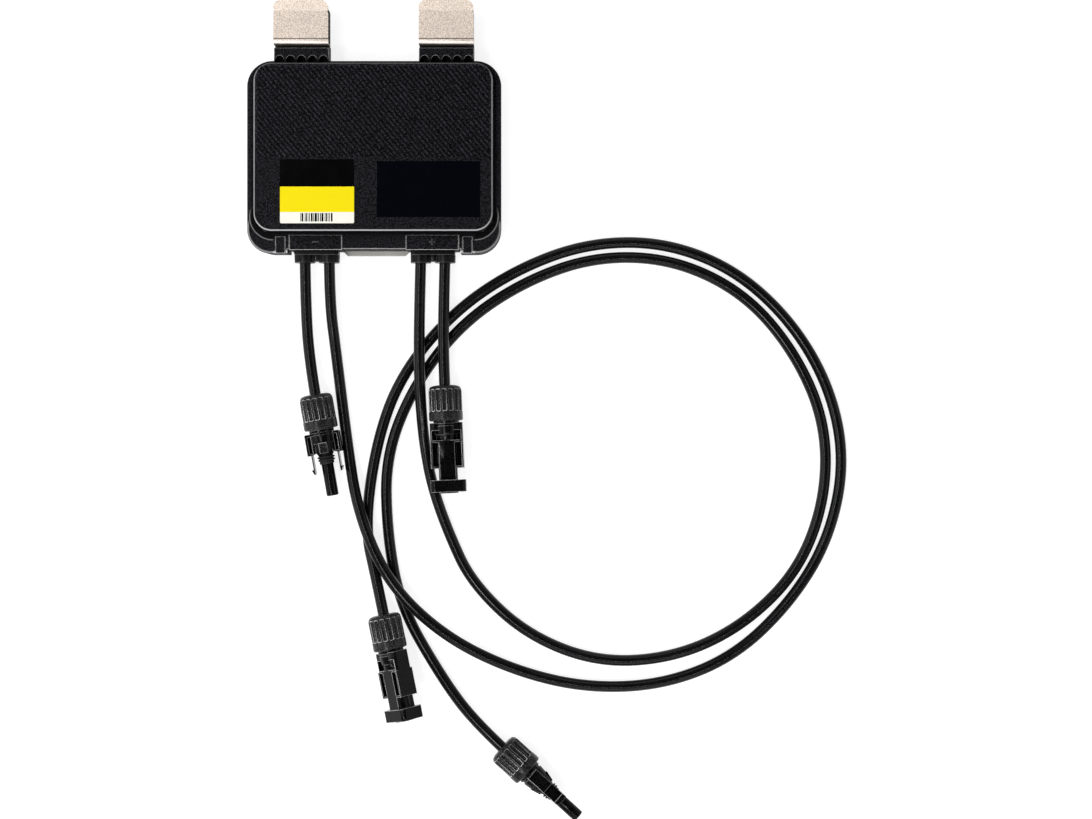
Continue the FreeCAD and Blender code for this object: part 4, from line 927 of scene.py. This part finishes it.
CABLES = (
    Cable("short_left_cable", "short_cable_left", (
        (-0.0387, -0.0650, 0.0105), (-0.0384, -0.0925, 0.0104), (-0.0365, -0.1252, 0.0096),
        (-0.03146, -0.15375, 0.0096)), 0.089, "left_plug", PLUG_PARTS),
    Cable("short_right_cable", "short_cable_right", (
        (0.0387, -0.0650, 0.0105), (0.0379, -0.0925, 0.0109), (0.03754, -0.12005, 0.00954),
        (0.03885, -0.14898, 0.01116)), 0.084, "right_socket", SOCKET_PARTS),
    Cable("long_left_cable", "long_cable_left", (
        (-0.0253, -0.0650, 0.0105), (-0.0253, -0.0925, 0.0096), (-0.0222, -0.1210, 0.0044),
        (-0.0165, -0.1684, 0.0032), (-0.0097, -0.2084, 0.0114), (0.0071, -0.2479, 0.0112),
        (0.0378, -0.2775, 0.0094), (0.0761, -0.2972, 0.0035), (0.1170, -0.3070, 0.0033),
        (0.1598, -0.3051, 0.0033), (0.1988, -0.2896, 0.0033), (0.2304, -0.2592, 0.0033),
        (0.2517, -0.2239, 0.0033), (0.2604, -0.1811, 0.0033), (0.2522, -0.1400, 0.0033),
        (0.2306, -0.1029, 0.0033), (0.1985, -0.0738, 0.0033), (0.1587, -0.0589, 0.0033),
        (0.1161, -0.0599, 0.0033), (0.0759, -0.0752, 0.0033), (0.0416, -0.0990, 0.0033),
        (0.0137, -0.1331, 0.0033), (0.0002, -0.1694, 0.0033), (-0.0066, -0.2175, 0.0032),
        (0.00072, -0.24684, 0.00834), (0.00664, -0.27517, 0.01026)), 1.012, "long_socket", SOCKET_PARTS),
    Cable("long_right_cable", "long_cable_right", (
        (0.0253, -0.0650, 0.0105), (0.0246, -0.0925, 0.0109), (0.0242, -0.1210, 0.0110),
        (0.0249, -0.1470, 0.0099), (0.0266, -0.1710, 0.0036), (0.0310, -0.1950, 0.0032),
        (0.0402, -0.2210, 0.0032), (0.0529, -0.2484, 0.0032), (0.0829, -0.2771, 0.0033),
        (0.1234, -0.2930, 0.0033), (0.1667, -0.2899, 0.0033), (0.2044, -0.2720, 0.0033),
        (0.2351, -0.2412, 0.0033), (0.2498, -0.2008, 0.0033), (0.2495, -0.1586, 0.0033),
        (0.2319, -0.1191, 0.0033), (0.2038, -0.0870, 0.0033), (0.1646, -0.0685, 0.0033),
        (0.1220, -0.0670, 0.0033), (0.0822, -0.0809, 0.0033), (0.0469, -0.1047, 0.0033),
        (0.0207, -0.1390, 0.0033), (0.0051, -0.1781, 0.0033), (0.0060, -0.2212, 0.0032),
        (0.0133, -0.2613, 0.0032), (0.0365, -0.3015, 0.0036), (0.05571, -0.32614, 0.00827),
        (0.07737, -0.34531, 0.01030)), 1.013, "long_plug", PLUG_PARTS),
)


@dataclass
class Housing:
    """The black box: base shell, ribbed cover, gasket, plate and polarity signs."""

    sign_half: float = 0.0017
    sign_bar: float = 0.00034
    sign_height: float = 0.00015
    sign_root: float = 0.0002
    sign_level: float = 0.018
    sign_row: float = -0.0604
    gland_x: float = 0.032
    shell_edge: float = 0.0004
    plate_edge: float = 0.0002

    def build(self) -> None:
        """Dress the mouldings and add the raised signs."""
        dress("base_shell", HOUSING, self.shell_edge)
        dress("front_cover", COVER)
        dress("cover_gasket", RUBBER)
        dress("back_plate", BACK_SHEET, self.plate_edge)
        self._sign("minus_sign", -self.gland_x, False)
        self._sign("plus_sign", self.gland_x, True)

    def _sign(self, name: str, across: float, crossed: bool) -> None:
        """Raise one polarity sign on its gland block.

        Args:
            name: name of the piece.
            across: place on X.
            crossed: whether the upright bar is there too.
        """
        long, thin = self.sign_half, self.sign_bar
        if crossed:
            outline = [(-long, -thin), (-thin, -thin), (-thin, -long), (thin, -long), (thin, -thin),
                       (long, -thin), (long, thin), (thin, thin), (thin, long), (-thin, long),
                       (-thin, thin), (-long, thin)]
        else:
            outline = [(-long, -thin), (long, -thin), (long, thin), (-long, thin)]
        count = len(outline)
        verts = [(across + x, self.sign_row + y, self.sign_level + z)
                 for z in (-self.sign_root, self.sign_height) for x, y in outline]
        faces = [list(range(count, 2 * count)), list(range(count - 1, -1, -1))]
        faces += [[k, (k + 1) % count, count + (k + 1) % count, count + k] for k in range(count)]
        new_piece(name, verts, faces, GLAND, ROOT)


@dataclass
class Labels:
    """The two printed labels on the cover."""

    rating: PrintedFilm = PrintedFilm(
        "rating_print",
        ((-0.0307, (0.0015, 0.0015, 0.0018)), (-0.0446, (0.95, 0.78, 0.008)), (-0.06, (0.97, 0.96, 0.86))),
        (-0.0396, -0.0218, -0.0497, -0.0451))
    notice: PrintedFilm = PrintedFilm("notice_print", ((-0.06, (0.0012, 0.0014, 0.0034)),))

    def build(self) -> None:
        """Print both films."""
        dress("rating_label", self.rating)
        dress("notice_label", self.notice)


@dataclass
class FrameClips:
    """The two sheet steel clips."""

    nodes: tuple[str, ...] = ("frame_clip_left", "frame_clip_right")
    edge: float = 0.00015

    def build(self) -> None:
        """Dress both clips in satin steel."""
        for node in self.nodes:
            dress(node, SPRING_STEEL, self.edge)


@dataclass
class Glands:
    """The two double cable glands."""

    nodes: tuple[str, ...] = ("gland_left", "gland_right")
    edge: float = 0.0003

    def build(self) -> None:
        """Dress both glands."""
        for node in self.nodes:
            dress(node, GLAND, self.edge)


@dataclass
class Connector:
    """One plug or socket on the end of a cable."""

    name: str
    parts: tuple[str, ...]
    edge: float = 0.0002
    softened: tuple[str, ...] = ("body", "cap_nut")
    finishes: dict[str, Finish] = field(default_factory=lambda: {
        "body": CONNECTOR, "contact": TINNED, "seal_ring": RUBBER, "cable_seal": RUBBER,
        "clamp_ring": CONNECTOR, "cap_nut": NUT})

    def build(self) -> None:
        """Dress the pieces of the connector."""
        for part in self.parts:
            edge = self.edge if part in self.softened else 0.0
            dress(f"{self.name}_{part}", self.finishes[part], edge)


@dataclass
class Electronics:
    """What lies inside the box."""

    finishes: dict[str, Finish] = field(default_factory=lambda: {
        "circuit_board": BOARD, "board_screws": ZINC, "inductor_core": FERRITE, "inductor_winding": COPPER,
        "capacitors": CAN, "switching_transistors": EPOXY, "control_chip": EPOXY, "radio_shield": CAN,
        "terminals": BRASS, "lead_conductors": COPPER})

    def build(self) -> None:
        """Dress the hidden pieces."""
        for node, finish in self.finishes.items():
            dress(node, finish)


def main() -> None:
    """Build the studio and every sub-assembly in order."""
    logging.basicConfig(level=logging.INFO, format="%(name)s: %(message)s")
    Studio().build()
    for cable in CABLES:
        cable.build()
    Housing().build()
    Labels().build()
    FrameClips().build()
    Glands().build()
    for name, parts in (("left_plug", PLUG_PARTS), ("long_plug", PLUG_PARTS),
                        ("right_socket", SOCKET_PARTS), ("long_socket", SOCKET_PARTS)):
        Connector(name, parts).build()
    Electronics().build()


if __name__ == "__main__":
    main()
